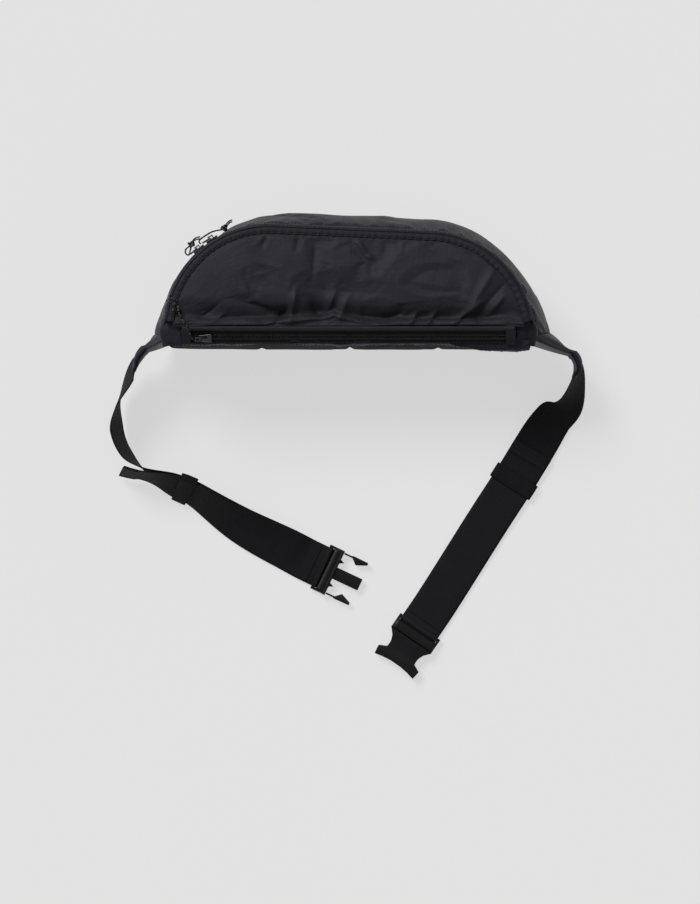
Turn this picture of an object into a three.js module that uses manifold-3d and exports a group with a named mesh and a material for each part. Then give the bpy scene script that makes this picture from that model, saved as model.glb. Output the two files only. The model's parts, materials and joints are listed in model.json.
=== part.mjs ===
// A zipped waist pack, standing on its base with its belt laid out behind it and the buckle undone.
//
// Axes: +X is to the right when the pack is seen from above with its front panel away from the viewer,
// +Y points out of the front panel, +Z is up. All lengths are millimetres and all angles are degrees.
// The pieces are laid out in a plan of their own, and the whole group is moved at the end so that the
// origin is under the middle of the object, on the surface that it stands on.

import * as THREE from 'three';
import { mergeVertices } from 'three/addons/utils/BufferGeometryUtils.js';
import Module from 'manifold-3d';

// ---------------------------------------------------------------- driving dimensions

// Clearances
const TOUCH = 0.3;                 // gap left between two pieces that touch
const RUNNING = 0.6;               // gap round a piece that slides on another

// Main zip, which stands upright round the front of the pack
const ZIP_HEIGHT = 112;            // height of the zip's centre line above the base
const ZIP_START = { x: -160.5, y: 108.2 };
const END_HEADING = 80;            // direction of the zip at its left end, from +X
const TOP_FALL = 2.5;              // fall of the long front run towards the right
const LEFT_RUN = 14;               // straight length before the left shoulder
const LEFT_RADIUS = 89.5;
const FRONT_RUN = 137;             // straight length across the front
const RIGHT_RADIUS = 91.5;
const RIGHT_RUN = 6;

// Zip parts, shared by both zips
const TAPE_WIDTH = 6.2;
const TAPE_THICKNESS = 0.8;
const CHAIN_GAP = 1.8;             // between the two rows of coil, for the slider's post
const COIL_WIDTH = 1.6;
const COIL_HEIGHT = 1.2;
const SLIDER_LENGTH = 11;
const SLIDER_WIDTH = 9;
const SLIDER_PLATE = 1.4;
const BAIL_WIDTH = 3;
const BAIL_LENGTH = 5;
const BAIL_BAR = 1;
const PULL_WIDTH = 4.4;
const PULL_LENGTH = 8;
const PULL_THICKNESS = 1.2;
const PULL_BAR = 1;

// Pull cords
const CORD_DIAMETER = 1.8;
const KNOT_DIAMETER = 6.4;

// Panels
const FRONT_SHEET = 2.4;
const FRONT_BULGES = [11, 8, 5, 6, 11, 14, 15, 15, 16, 17, 17, 14, 13, 15, 18];
const FRONT_TUCK = 4;              // how far the front panel pulls in at the base
const BASE_SHEET = 3;
const LID_SHEET = 1.6;
const LID_DOME = 3.5;
const WELT_WIDTH = 7.4;
const WELT_RISE = 3.6;
const WELT_SHEET = 2;

// Back of the pack
const BACK_Y = 91;                 // outer face of the back panel
const BACK_SHEET = 1.2;
const FOAM = 5;
const POCKET_DEPTH = 6;            // rear pocket, between the foam and the divider
const DIVIDER_SHEET = 1;
const HINGE_Y = 109;               // fold line of the lid
const REAR_SLOPE = 35;             // tilt of the rear zip
const REAR_ZIP_Y = 100;
const REAR_INSET = 22;             // from the end of the back panel to the end of the rear zip
const TAB_LENGTH = 8;

// Wings and belt
const WEB_WIDTH = 38;
const WEB_THICKNESS = 1.4;
const WING_SHEET = 4;
const WING_MARGIN = 1.5;           // wing cloth beyond each edge of the webbing
const WEB_HEIGHT = 46;             // middle of the webbing where it leaves the wings
const LEFT_WING_REACH = { x: -19, y: -18 };
const RIGHT_WING_REACH = { x: 37, y: -22 };
const ANCHOR_LENGTH = 14;
const KEEPER_LENGTH = 14.5;
const KEEPER_WALL = 1.2;
const KEEPER_GAP = 0.8;

// Buckle
const RAIL = 2.2;                  // side rail of each adjuster
const END_BAR = 3.6;
const END_BAR_HEIGHT = 2;
const BAR_HEIGHT = 2.4;
const MALE_BAR = 2;
const FEMALE_BAR = 4.4;
const BAR_SLOT = 1.6;
const MALE_BLOCK = 3.4;
const BUCKLE_HEIGHT = 9;
const HOUSING_WALL = 1.8;
const HOUSING_LENGTH = 28;
const WAIST_HALF_WIDTH = 14.5;
const PRONG_LENGTH = 23.5;
const PRONG_ARM = 1.5;
const PRONG_HEIGHT = 4.6;
const GUIDE_LENGTH = 25;
const GUIDE_WIDTH = 11;

const RAD = Math.PI / 180;
const UP = new THREE.Vector3(0, 0, 1);

// ---------------------------------------------------------------- finishes

const finish = (color, roughness, metalness = 0) => new THREE.MeshStandardMaterial({ color, roughness, metalness });
const TOP_CLOTH = finish(0x2c2b30, 0.7);
const WELT_CLOTH = finish(0x232327, 0.8);
const NAVY_CLOTH = finish(0x3a3946, 0.45);
const LINING = finish(0x3c3c44, 0.8);
const MESH_CLOTH = finish(0x2a2a30, 0.9);
const FOAM_PAD = finish(0x55555a, 0.95);
const TAPE = finish(0x1c1c20, 0.85);
const COIL = finish(0x26262a, 0.5);
const METAL = finish(0x8d8d92, 0.3, 1);
const CORD = finish(0x1b1b1d, 0.9);
const WEBBING = finish(0x1a1b1d, 0.85);
const PLASTIC = finish(0x141417, 0.4);

// ---------------------------------------------------------------- solids

const pack = new THREE.Group();

function add(name, geometry, material, parent = pack) {
  const mesh = new THREE.Mesh(geometry, material);
  mesh.name = name;
  parent.add(mesh);
  return mesh;
}

// Signed volume of a triangle mesh: positive when its faces point outwards.
function signedVolume(geometry) {
  const at = geometry.attributes.position;
  const index = geometry.index.array;
  const [a, b, c] = [new THREE.Vector3(), new THREE.Vector3(), new THREE.Vector3()];
  let volume = 0;
  for (let i = 0; i < index.length; i += 3) {
    a.fromBufferAttribute(at, index[i]);
    b.fromBufferAttribute(at, index[i + 1]);
    c.fromBufferAttribute(at, index[i + 2]);
    volume += a.dot(b.cross(c)) / 6;
  }
  return volume;
}

function facingOut(geometry) {
  if (signedVolume(geometry) < 0) {
    geometry.index.array.reverse();
  }
  return geometry;
}

function weld(geometry) {
  geometry.deleteAttribute('normal');
  geometry.deleteAttribute('uv');
  return mergeVertices(geometry, 1e-4);
}

// A closed block of nu x nv x nw cells, bent by place(u, v, w), where each of u, v and w runs from 0 to 1.
function bent(nu, nv, nw, place) {
  const geometry = weld(new THREE.BoxGeometry(1, 1, 1, nu, nv, nw));
  const at = geometry.attributes.position;
  for (let i = 0; i < at.count; i += 1) {
    const p = place(at.getX(i) + 0.5, at.getY(i) + 0.5, at.getZ(i) + 0.5);
    at.setXYZ(i, p.x, p.y, p.z);
  }
  return facingOut(geometry);
}

// A closed sleeve: frames(i) places a 2-D point, and the loops are its outer and inner outline.
function sleeve(steps, outer, inner, place) {
  const count = outer.length;
  const points = [];
  for (let i = 0; i <= steps; i += 1) {
    for (const [a, b] of [...outer, ...inner]) {
      points.push(place(i / steps, a, b));
    }
  }
  const index = [];
  const quad = (a, b, c, d) => index.push(a, b, c, a, c, d);
  const row = 2 * count;
  for (let j = 0; j < count; j += 1) {
    const k = (j + 1) % count;
    for (let i = 0; i < steps; i += 1) {
      const [here, next] = [i * row, (i + 1) * row];
      quad(here + j, here + k, next + k, next + j);
      quad(here + count + k, here + count + j, next + count + j, next + count + k);
    }
    const last = steps * row;
    quad(k, j, count + j, count + k);
    quad(last + j, last + k, last + count + k, last + count + j);
  }
  const geometry = new THREE.BufferGeometry().setFromPoints(points);
  geometry.setIndex(index);
  return facingOut(weld(geometry));
}

// A straight prism: an outline in (x, y), from z = low to z = high, with optional holes.
function prism(outline, low, high, holes = []) {
  const shape = new THREE.Shape(outline.map(([x, y]) => new THREE.Vector2(x, y)));
  for (const hole of holes) {
    shape.holes.push(new THREE.Path(hole.map(([x, y]) => new THREE.Vector2(x, y))));
  }
  const geometry = new THREE.ExtrudeGeometry(shape, { depth: high - low, bevelEnabled: false, curveSegments: 8 });
  geometry.translate(0, 0, low);
  return facingOut(weld(geometry));
}

const rectangle = (x0, x1, y0, y1) => [[x0, y0], [x1, y0], [x1, y1], [x0, y1]];

const wasm = await Module();
wasm.setup();

function solidOf(geometry) {
  const clean = geometry.index ? geometry : weld(geometry);
  return new wasm.Manifold(new wasm.Mesh({
    numProp: 3,
    vertProperties: new Float32Array(clean.attributes.position.array),
    triVerts: new Uint32Array(clean.index.array),
  }));
}

function geometryOf(solid) {
  const mesh = solid.getMesh();
  const geometry = new THREE.BufferGeometry();
  geometry.setAttribute('position', new THREE.BufferAttribute(mesh.vertProperties, 3));
  geometry.setIndex(new THREE.BufferAttribute(mesh.triVerts, 1));
  return geometry;
}

function joined(first, ...rest) {
  return geometryOf(rest.reduce((sum, piece) => sum.add(solidOf(piece)), solidOf(first)));
}

function cut(first, ...rest) {
  return geometryOf(rest.reduce((sum, piece) => sum.subtract(solidOf(piece)), solidOf(first)));
}

// ---------------------------------------------------------------- plan of the main zip

// The zip runs clockwise round the front as straight runs and two shoulder arcs that touch end to end.
const headingAcross = -TOP_FALL;
const arcTurn = (from, to) => (from - to) * RAD;
const RUNS = [
  { length: LEFT_RUN, radius: Infinity },
  { length: LEFT_RADIUS * arcTurn(END_HEADING, headingAcross), radius: LEFT_RADIUS },
  { length: FRONT_RUN, radius: Infinity },
  { length: RIGHT_RADIUS * arcTurn(headingAcross, -END_HEADING), radius: RIGHT_RADIUS },
  { length: RIGHT_RUN, radius: Infinity },
];
const ZIP_LENGTH = RUNS.reduce((sum, run) => sum + run.length, 0);

// The point at a length along the zip, with its heading; beyond either end the zip runs straight on.
function zipPoint(length) {
  let [x, y, heading, left] = [ZIP_START.x, ZIP_START.y, END_HEADING * RAD, length];
  for (const [i, run] of RUNS.entries()) {
    const last = i === RUNS.length - 1;
    const step = last ? left : Math.min(left, run.length);
    if (run.radius === Infinity) {
      x += step * Math.cos(heading);
      y += step * Math.sin(heading);
    } else {
      const turned = heading - step / run.radius;
      x += run.radius * (Math.sin(heading) - Math.sin(turned));
      y += run.radius * (Math.cos(turned) - Math.cos(heading));
      heading = turned;
    }
    left -= step;
    if (left <= 0 && !last) {
      break;
    }
  }
  return { x, y, heading };
}

// A point beside the zip: out is the distance outwards from its plane.
function besideZip(length, out, z) {
  const { x, y, heading } = zipPoint(length);
  return new THREE.Vector3(x - out * Math.sin(heading), y + out * Math.cos(heading), z);
}

const ZIP_END = zipPoint(ZIP_LENGTH);
const leftArcMiddle = besideZip(LEFT_RUN, -LEFT_RADIUS, ZIP_HEIGHT);

// ---------------------------------------------------------------- main panels

const lerp = THREE.MathUtils.lerp;
const tapeEdge = CHAIN_GAP / 2;
const lowerTapeBottom = ZIP_HEIGHT - tapeEdge - TAPE_WIDTH;
const upperTapeTop = ZIP_HEIGHT + tapeEdge + TAPE_WIDTH;
const frontTop = lowerTapeBottom - TOUCH;
const bulgeAt = new THREE.SplineCurve(FRONT_BULGES.map((b, i) => new THREE.Vector2(i, b)));
const backInner = BACK_Y + BACK_SHEET;
const PANEL_OVERRUN = 7;           // the front panel runs past each end of the zip, down to the wings

// Distance of the front panel's middle surface outside the zip's plane, at share v of its height.
function frontOut(u, v) {
  const bulge = bulgeAt.getPoint(u).y;
  return bulge * Math.sin(Math.PI * v) ** 0.8 - FRONT_TUCK * (1 - v) ** 2;
}

add('front_panel', bent(48, 8, 1, (u, v, w) => {
  const length = lerp(-PANEL_OVERRUN, ZIP_LENGTH + PANEL_OVERRUN, u);
  return besideZip(length, frontOut(u, v) + (w - 0.5) * FRONT_SHEET, frontTop * v);
}), NAVY_CLOTH);

// Base panel, inside the foot of the front panel and in front of the back panel.
const footInset = -(FRONT_TUCK + FRONT_SHEET / 2 + TOUCH);
const basePoints = [];
const BASE_STEPS = 36;
for (let i = 0; i <= BASE_STEPS; i += 1) {
  const p = besideZip(lerp(-1, ZIP_LENGTH + 1, i / BASE_STEPS), footInset, 0);
  basePoints.push([p.x, p.y]);
}
const baseBack = backInner + FOAM + 2 * TOUCH;
basePoints.push([basePoints.at(-1)[0], baseBack], [basePoints[0][0], baseBack]);
add('base_panel', prism(basePoints, 0, BASE_SHEET), LINING);

// Back of the pack: an outer mesh panel, a foam pad, and a divider that closes the rear pocket.
const backLeft = besideZip(-PANEL_OVERRUN, 0, 0).x + FRONT_SHEET;
const backRight = besideZip(ZIP_LENGTH + PANEL_OVERRUN, 0, 0).x - FRONT_SHEET;
const slope = REAR_SLOPE * RAD;
const rearZipZ = ZIP_HEIGHT + 4;
const rearReach = tapeEdge + TAPE_WIDTH;
const backTop = rearZipZ - rearReach * Math.sin(slope) - TAPE_THICKNESS - TOUCH;
const foamFront = backInner + TOUCH + FOAM;
const slab = (x0, x1, y0, y1, z0, z1) => prism(rectangle(x0, x1, y0, y1), z0, z1);
add('back_panel', slab(backLeft, backRight, BACK_Y, backInner, 0, backTop), MESH_CLOTH);
const FOAM_MARGIN = 6;
add('back_foam', slab(
  backLeft + FOAM_MARGIN, backRight - FOAM_MARGIN, backInner + TOUCH, foamFront, FOAM_MARGIN / 2, backTop - FOAM_MARGIN,
), FOAM_PAD);
const dividerBack = foamFront + POCKET_DEPTH;
add('pocket_divider', slab(
  backLeft + FRONT_SHEET, backRight - FRONT_SHEET,
  dividerBack, dividerBack + DIVIDER_SHEET, BASE_SHEET + TOUCH, backTop,
), LINING);

// ---------------------------------------------------------------- lid

const lid = new THREE.Group();
pack.add(lid);
const LID_END = 5;                 // the lid's zip stops this far short of each end of the main zip
const weltFoot = upperTapeTop + TOUCH;
const lidEdge = weltFoot + WELT_RISE;
const hingeZ = lidEdge - LID_SHEET / 2;

function lidPoint(u, v, w) {
  const front = besideZip(lerp(LID_END, ZIP_LENGTH - LID_END, u), -WELT_WIDTH - TOUCH, 0);
  const rearX = lerp(ZIP_START.x + WELT_WIDTH, ZIP_END.x - WELT_WIDTH, u);
  const share = THREE.MathUtils.smoothstep(v, 0, 1);
  const x = lerp(rearX, front.x, 0.4 * v + 0.6 * share);
  const y = lerp(HINGE_Y, Math.max(front.y, HINGE_Y + 2), v);
  const dome = LID_DOME * Math.sin(Math.PI * v) * Math.sin(Math.PI * u) ** 0.5;
  return new THREE.Vector3(x, y, lidEdge + dome + (w - 1) * LID_SHEET);
}
add('top_panel', bent(40, 8, 1, lidPoint), TOP_CLOTH, lid);

// Welt: a quarter round of cloth from the upper tape over to the edge of the top panel.
add('top_welt', bent(48, 3, 1, (u, v, w) => {
  const angle = v * Math.PI / 2;
  const [across, rise] = [WELT_WIDTH - WELT_SHEET * w, WELT_RISE - LID_SHEET * w];
  const out = WELT_SHEET / 2 - WELT_WIDTH + across * Math.cos(angle) - (WELT_SHEET / 2) * v;
  return besideZip(lerp(LID_END, ZIP_LENGTH - LID_END, u), out, weltFoot + rise * Math.sin(angle));
}), WELT_CLOTH, lid);

// ---------------------------------------------------------------- zip tapes

// Outline of one tape with its row of coil, as (across, outwards), where across runs away from the chain.
const tapeOutline = [
  [tapeEdge, -TAPE_THICKNESS / 2], [tapeEdge + TAPE_WIDTH, -TAPE_THICKNESS / 2],
  [tapeEdge + TAPE_WIDTH, TAPE_THICKNESS / 2], [tapeEdge + COIL_WIDTH, TAPE_THICKNESS / 2],
  [tapeEdge + COIL_WIDTH, TAPE_THICKNESS / 2 + COIL_HEIGHT], [tapeEdge, TAPE_THICKNESS / 2 + COIL_HEIGHT],
];

// An outline carried along a path: place(u, across, outwards) gives each corner.
function carried(steps, outline, place) {
  const flat = outline.map(([a, b]) => new THREE.Vector2(a, b));
  const caps = THREE.ShapeUtils.triangulateShape(flat, []);
  const count = outline.length;
  const points = [];
  for (let i = 0; i <= steps; i += 1) {
    for (const [a, b] of outline) {
      points.push(place(i / steps, a, b));
    }
  }
  const index = [];
  for (let i = 0; i < steps; i += 1) {
    for (let j = 0; j < count; j += 1) {
      const k = (j + 1) % count;
      const [a, b] = [i * count + j, i * count + k];
      index.push(a, b, b + count, a, b + count, a + count);
    }
  }
  const last = steps * count;
  for (const [a, b, c] of caps) {
    index.push(a, c, b, last + a, last + b, last + c);
  }
  const geometry = new THREE.BufferGeometry().setFromPoints(points);
  geometry.setIndex(index);
  return facingOut(geometry);
}

add('main_zip_lower_tape', carried(46, tapeOutline, (u, across, out) =>
  besideZip(lerp(1, ZIP_LENGTH - 1, u), out, ZIP_HEIGHT - across)), TAPE);
add('main_zip_upper_tape', carried(46, tapeOutline, (u, across, out) =>
  besideZip(lerp(LID_END, ZIP_LENGTH - LID_END, u), out, ZIP_HEIGHT + across)), TAPE, lid);

// Rear zip, on a slope between the back panel and the fold of the lid.
const rearLeft = backLeft + REAR_INSET;
const rearRight = backRight - REAR_INSET;
const slopeOut = new THREE.Vector3(0, -Math.sin(slope), Math.cos(slope));
const onRearSlope = (x, up, out) => new THREE.Vector3(
  x, REAR_ZIP_Y + up * Math.cos(slope) - out * Math.sin(slope), rearZipZ + up * Math.sin(slope) + out * Math.cos(slope),
);
const rearTape = (side) => carried(1, tapeOutline, (u, across, out) =>
  onRearSlope(lerp(rearLeft, rearRight, u), side * across, out));
add('rear_zip_lower_tape', rearTape(-1), TAPE);
add('rear_zip_upper_tape', rearTape(1), TAPE);

// A folded cloth tab closes each end of the rear zip.
function rearTab(x0, x1) {
  const half = rearReach;
  return bent(2, 1, 1, (u, v, w) => onRearSlope(
    lerp(x0, x1, u), lerp(-half, half, v), lerp(-TAPE_THICKNESS / 2, TAPE_THICKNESS / 2 + COIL_HEIGHT, w),
  ));
}
add('rear_zip_left_tab', rearTab(rearLeft - TOUCH - TAB_LENGTH, rearLeft - TOUCH), WELT_CLOTH);
add('rear_zip_right_tab', rearTab(rearRight + TOUCH, rearRight + TOUCH + TAB_LENGTH), WELT_CLOTH);

// A narrow hem joins the rear zip to the fold of the lid, which turns about the middle of its own edge.
const foldGap = LID_SHEET / 2 + TOUCH / 2;
add('rear_hem', bent(1, 1, 1, (u, v, w) => {
  const x = lerp(rearLeft - TAB_LENGTH, rearRight + TAB_LENGTH, u);
  const rear = onRearSlope(x, rearReach + 2 * TOUCH, 0);
  const fold = new THREE.Vector3(x, HINGE_Y - foldGap, hingeZ);
  return rear.lerp(fold, v).add(slopeOut.clone().multiplyScalar((w - 0.5) * LID_SHEET));
}), TOP_CLOTH);

// ---------------------------------------------------------------- sliders and pulls

// A slider about its own middle: x along the zip, y across it, z outwards. Two plates are held together
// by a post between the rows of coil, and a bail on the outer plate carries the pull.
const outerPlate = TAPE_THICKNESS / 2 + COIL_HEIGHT + RUNNING;
const innerPlate = -TAPE_THICKNESS / 2 - RUNNING;
const plateTop = outerPlate + SLIDER_PLATE;
const postHalf = tapeEdge - TOUCH;
const bailTop = plateTop + PULL_THICKNESS + 2 * TOUCH + BAIL_BAR;
const pivotOut = plateTop + TOUCH + PULL_THICKNESS / 2;
const bailHalf = BAIL_LENGTH / 2;

function sliderGeometry() {
  const half = SLIDER_LENGTH / 2;
  const taper = [[-half, -SLIDER_WIDTH / 2 + 1.5], [half, -SLIDER_WIDTH / 2], [half, SLIDER_WIDTH / 2],
    [-half, SLIDER_WIDTH / 2 - 1.5]];
  const outer = prism(taper, outerPlate, plateTop);
  const inner = prism(taper, innerPlate - SLIDER_PLATE, innerPlate);
  const post = prism(rectangle(half - 4, half, -postHalf, postHalf), innerPlate - 0.5, outerPlate + 0.5);
  const bail = prism(rectangle(-bailHalf, bailHalf, -BAIL_WIDTH / 2, BAIL_WIDTH / 2), plateTop - 0.5, bailTop);
  const eye = prism(
    rectangle(-bailHalf + BAIL_BAR, bailHalf - BAIL_BAR, -BAIL_WIDTH, BAIL_WIDTH), plateTop, bailTop - BAIL_BAR,
  );
  return joined(outer, inner, post, cut(bail, eye));
}

// A pull about its pivot: a flat tab with a hole at each end. Its near bar lies in the bail's eye.
function pullGeometry() {
  const nearEdge = -PULL_BAR / 2;
  const half = PULL_WIDTH / 2;
  const plate = prism(rectangle(nearEdge, PULL_LENGTH, -half, half), -PULL_THICKNESS / 2, PULL_THICKNESS / 2);
  const eyeEnd = bailHalf + TOUCH;
  const low = -PULL_THICKNESS;
  const slot = prism(rectangle(PULL_BAR / 2, eyeEnd, -BAIL_WIDTH / 2 - TOUCH, BAIL_WIDTH / 2 + TOUCH), low, -low);
  const cordHole = CORD_DIAMETER / 2 + TOUCH;
  const hole = prism(rectangle(PULL_LENGTH - PULL_BAR - 2 * cordHole, PULL_LENGTH - PULL_BAR, -cordHole, cordHole), low, -low);
  return cut(plate, slot, hole);
}

// Places a piece by its x axis and its outward axis.
function stand(mesh, origin, along, outwards) {
  const side = new THREE.Vector3().crossVectors(outwards, along).normalize();
  const matrix = new THREE.Matrix4().makeBasis(along, side, outwards).setPosition(origin);
  mesh.applyMatrix4(matrix);
}

// A cord is a tube through points chosen by hand, given from the pull's pivot as (along, side, outwards).
function cordGeometry(points) {
  const section = new THREE.Shape().absarc(0, 0, CORD_DIAMETER / 2, 0, 2 * Math.PI);
  const path = new THREE.CatmullRomCurve3(points.map(([a, b, c]) => new THREE.Vector3(a, b, c)));
  const steps = Math.round(path.getLength() / (1.2 * CORD_DIAMETER));
  const geometry = new THREE.ExtrudeGeometry(section, {
    steps, extrudePath: path, curveSegments: 4, bevelEnabled: false,
  });
  return facingOut(weld(geometry));
}

// One slider with its pull, its cord and its knot. reach turns the pull round: 1 points it along the zip.
function zipPull(name, origin, along, outwards, pull) {
  const slider = add(`${name}_slider`, sliderGeometry(), METAL);
  stand(slider, origin, along, outwards);
  const pivot = origin.clone()
    .addScaledVector(along, pull.reach * (bailHalf - BAIL_BAR - PULL_BAR / 2 - TOUCH))
    .addScaledVector(outwards, pivotOut);
  const direction = along.clone().multiplyScalar(pull.reach);
  const tab = add(`${name}_pull`, pullGeometry(), METAL);
  stand(tab, pivot, direction, outwards);
  const cord = add(`${name}_cord`, cordGeometry(pull.cord), CORD);
  stand(cord, pivot, direction, outwards);
  const knot = add(`${name}_knot`, new THREE.IcosahedronGeometry(KNOT_DIAMETER / 2, 1), CORD);
  knot.geometry = facingOut(weld(knot.geometry));
  stand(knot, pivot.clone(), direction, outwards);
  const shift = new THREE.Vector3(...pull.knot).applyMatrix4(
    new THREE.Matrix4().makeBasis(direction, new THREE.Vector3().crossVectors(outwards, direction), outwards),
  );
  knot.position.add(shift);
  return pivot;
}

const ARC_FROM_START = 60.3;       // the left slider, measured along the left shoulder
const SLIDER_SPACING = 13.7;
const MAIN_KNOTS = {
  left: [1.4, 0, 5.8],
  right: [-15.2, 0, 0.8],
};
const MAIN_CORDS = {
  left: [[9.4, 0, 0.2], [10.2, 0, 2], [9.9, 0, 4], [8.4, 0, 5.4], [6.6, 0, 5.8], [5.2, 0, 5.8]],
  right: [[9.4, 0, 0.2], [9.9, 0, 1.8], [9, 0, 3.3], [6.6, 0, 3.9], [2, 0, 4], [-4, 0, 3.8], [-8.6, 0, 2.4], [-11.3, 0, 1.3]],
};
function mainZipPull(name, length, cord, knot) {
  const { heading } = zipPoint(length);
  const along = new THREE.Vector3(Math.cos(heading), Math.sin(heading), 0);
  const outwards = new THREE.Vector3(-Math.sin(heading), Math.cos(heading), 0);
  return zipPull(name, besideZip(length, 0, ZIP_HEIGHT), along, outwards, { reach: -1, cord, knot });
}
const leftSliderAt = LEFT_RUN + ARC_FROM_START;
mainZipPull('left', leftSliderAt, MAIN_CORDS.left, MAIN_KNOTS.left);
mainZipPull('right', leftSliderAt + SLIDER_SPACING, MAIN_CORDS.right, MAIN_KNOTS.right);

// The rear pull lies over the corner of the lid. Its points are along -X, down the slope, and out of it.
const REAR_SLIDER_INSET = 12;
const REAR_CORD = [
  [9.4, 0, 0.2], [10.8, -2.4, 1.2], [12.2, -6.5, 1.1], [14, -10.6, -0.4], [16.6, -15, -3.2], [19.6, -19.4, -6],
  [22.2, -23, -8.4],
];
const REAR_KNOT = [24.2, -25.7, -9.4];
const rearSliderX = rearLeft + REAR_SLIDER_INSET;
zipPull('rear', onRearSlope(rearSliderX, 0, 0), new THREE.Vector3(1, 0, 0), slopeOut, {
  reach: -1, cord: REAR_CORD, knot: REAR_KNOT,
});

// ---------------------------------------------------------------- wings

const leftTip = new THREE.Vector3(ZIP_START.x + LEFT_WING_REACH.x, ZIP_START.y + LEFT_WING_REACH.y, WEB_HEIGHT);
const rightTip = new THREE.Vector3(ZIP_END.x + RIGHT_WING_REACH.x, ZIP_END.y + RIGHT_WING_REACH.y, WEB_HEIGHT);
const wingHalf = WEB_WIDTH / 2 + WING_MARGIN;
const WING_GAP = 2.4;              // from the end of a wing to the fold where the belt starts to swing
const CORNER_GAP = 1;              // between the wing and the corner of the pack

// The outer side of a wing, whose webbing is sewn to its inner face.
const outerSide = (along) => new THREE.Vector3(-along.y, along.x, 0).multiplyScalar(Math.sign(along.x));
const wingOffset = WEB_THICKNESS / 2 + TOUCH + WING_SHEET / 2;

// A wing narrows from the height of the pack to that of the webbing.
function wing(root, tip) {
  const along = tip.clone().sub(root).setZ(0);
  const reach = along.length() - WING_GAP;
  along.normalize();
  const side = outerSide(along);
  const [rootLow, rootHigh] = [0, frontTop];
  return bent(8, 5, 1, (u, v, w) => {
    const narrowing = THREE.MathUtils.smoothstep(u, -0.25, 1.05);
    const low = lerp(rootLow, WEB_HEIGHT - wingHalf, narrowing);
    const high = lerp(rootHigh, WEB_HEIGHT + wingHalf, narrowing);
    const p = root.clone().addScaledVector(along, reach * u).addScaledVector(side, wingOffset + (w - 0.5) * WING_SHEET);
    return p.setZ(lerp(low, high, v));
  });
}
const frontLeftEnd = besideZip(-PANEL_OVERRUN, 0, 0);
const frontRightEnd = besideZip(ZIP_LENGTH + PANEL_OVERRUN, 0, 0);
const rootY = frontLeftEnd.y - wingOffset - WING_SHEET / 2 - 2 * TOUCH;
const leftRoot = new THREE.Vector3(backLeft - CORNER_GAP, rootY, 0);
const rightRoot = new THREE.Vector3(backRight + CORNER_GAP, rootY, 0);
add('left_wing', wing(leftRoot, leftTip), NAVY_CLOTH);
add('right_wing', wing(rightRoot, rightTip), NAVY_CLOTH);

// Corner patches close the top of the pack between the ends of both zips.
const patchTop = hingeZ - LID_SHEET;
function cornerPatch(x0, x1) {
  return bent(2, 2, 1, (u, v, w) => {
    const y = lerp(backInner + TOUCH, HINGE_Y - 2.5, v);
    return new THREE.Vector3(lerp(x0, x1, u), y, lerp(backTop, patchTop, v) + w * LID_SHEET);
  });
}
const tabEnd = TAB_LENGTH + 2 * TOUCH;
add('left_corner_patch', cornerPatch(frontLeftEnd.x + FRONT_SHEET, rearLeft - tabEnd), NAVY_CLOTH);
add('right_corner_patch', cornerPatch(rearRight + tabEnd, frontRightEnd.x - FRONT_SHEET), NAVY_CLOTH);

// ---------------------------------------------------------------- belt webbing

const BELT_SAMPLES = 480;

// A smooth curve through values at rising stations, which never goes past a station's value.
function between(at, values, where) {
  const last = at.length - 1;
  const x = THREE.MathUtils.clamp(where, at[0], at[last]);
  let i = 0;
  while (i < last - 1 && x > at[i + 1]) {
    i += 1;
  }
  const rise = (k) => (values[k + 1] - values[k]) / (at[k + 1] - at[k]);
  const slopeAt = (k) => {
    if (k === 0 || k === last || rise(k - 1) * rise(k) <= 0) {
      return 0;
    }
    return 2 * rise(k - 1) * rise(k) / (rise(k - 1) + rise(k));
  };
  const step = at[i + 1] - at[i];
  const t = (x - at[i]) / step;
  return values[i] * (1 + 2 * t) * (1 - t) ** 2 + slopeAt(i) * step * t * (1 - t) ** 2
    + values[i + 1] * t * t * (3 - 2 * t) - slopeAt(i + 1) * step * t * t * (1 - t);
}

// A belt is a list of stations from its wing to its buckle: the plan position of the webbing's middle
// from the wing's tip, how far its upper edge leans over towards the inside of the loop, and how far its
// lower edge is lifted off the surface. side is 1 for the left belt and -1 for the right one.
function makeBelt(side, tip, stations) {
  const half = WEB_WIDTH / 2;
  const points = stations.map(({ x, y }) => new THREE.Vector3(tip.x + x, tip.y + y, 0));
  const path = new THREE.CatmullRomCurve3(points, false, 'centripetal');
  path.arcLengthDivisions = BELT_SAMPLES;
  const total = path.getLength();
  const lengths = path.getLengths(BELT_SAMPLES);
  const stationAt = stations.map((_, i) => lengths[Math.round(i * BELT_SAMPLES / (stations.length - 1))]);

  // Lean and height at a length, eased between the stations.
  const leans = stations.map(({ lean }) => lean * RAD);
  const heights = stations.map(({ lift }, i) =>
    lift + half * Math.abs(Math.cos(leans[i])) + (WEB_THICKNESS / 2) * Math.abs(Math.sin(leans[i])));
  const poseAt = (length) => ({ lean: between(stationAt, leans, length), z: between(stationAt, heights, length) });

  // Middle of the webbing at a length, with its directions along, across and out of the visible face.
  function frame(length) {
    const u = THREE.MathUtils.clamp(length / total, 0, 1);
    const { lean, z } = poseAt(length);
    const along = path.getTangentAt(u);
    const at = path.getPointAt(u).addScaledVector(along, length - u * total).setZ(z);
    const inside = new THREE.Vector3().crossVectors(UP, along).setZ(0).normalize().multiplyScalar(side);
    along.setZ(poseAt(length + 0.5).z - poseAt(length - 0.5).z).normalize();
    const across = UP.clone().multiplyScalar(Math.cos(lean)).addScaledVector(inside, Math.sin(lean));
    across.addScaledVector(along, -across.dot(along)).normalize();
    const out = new THREE.Vector3().crossVectors(along, across).multiplyScalar(side);
    return { at, along, across, out };
  }
  return { frame, total, side, stationAt };
}

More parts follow.
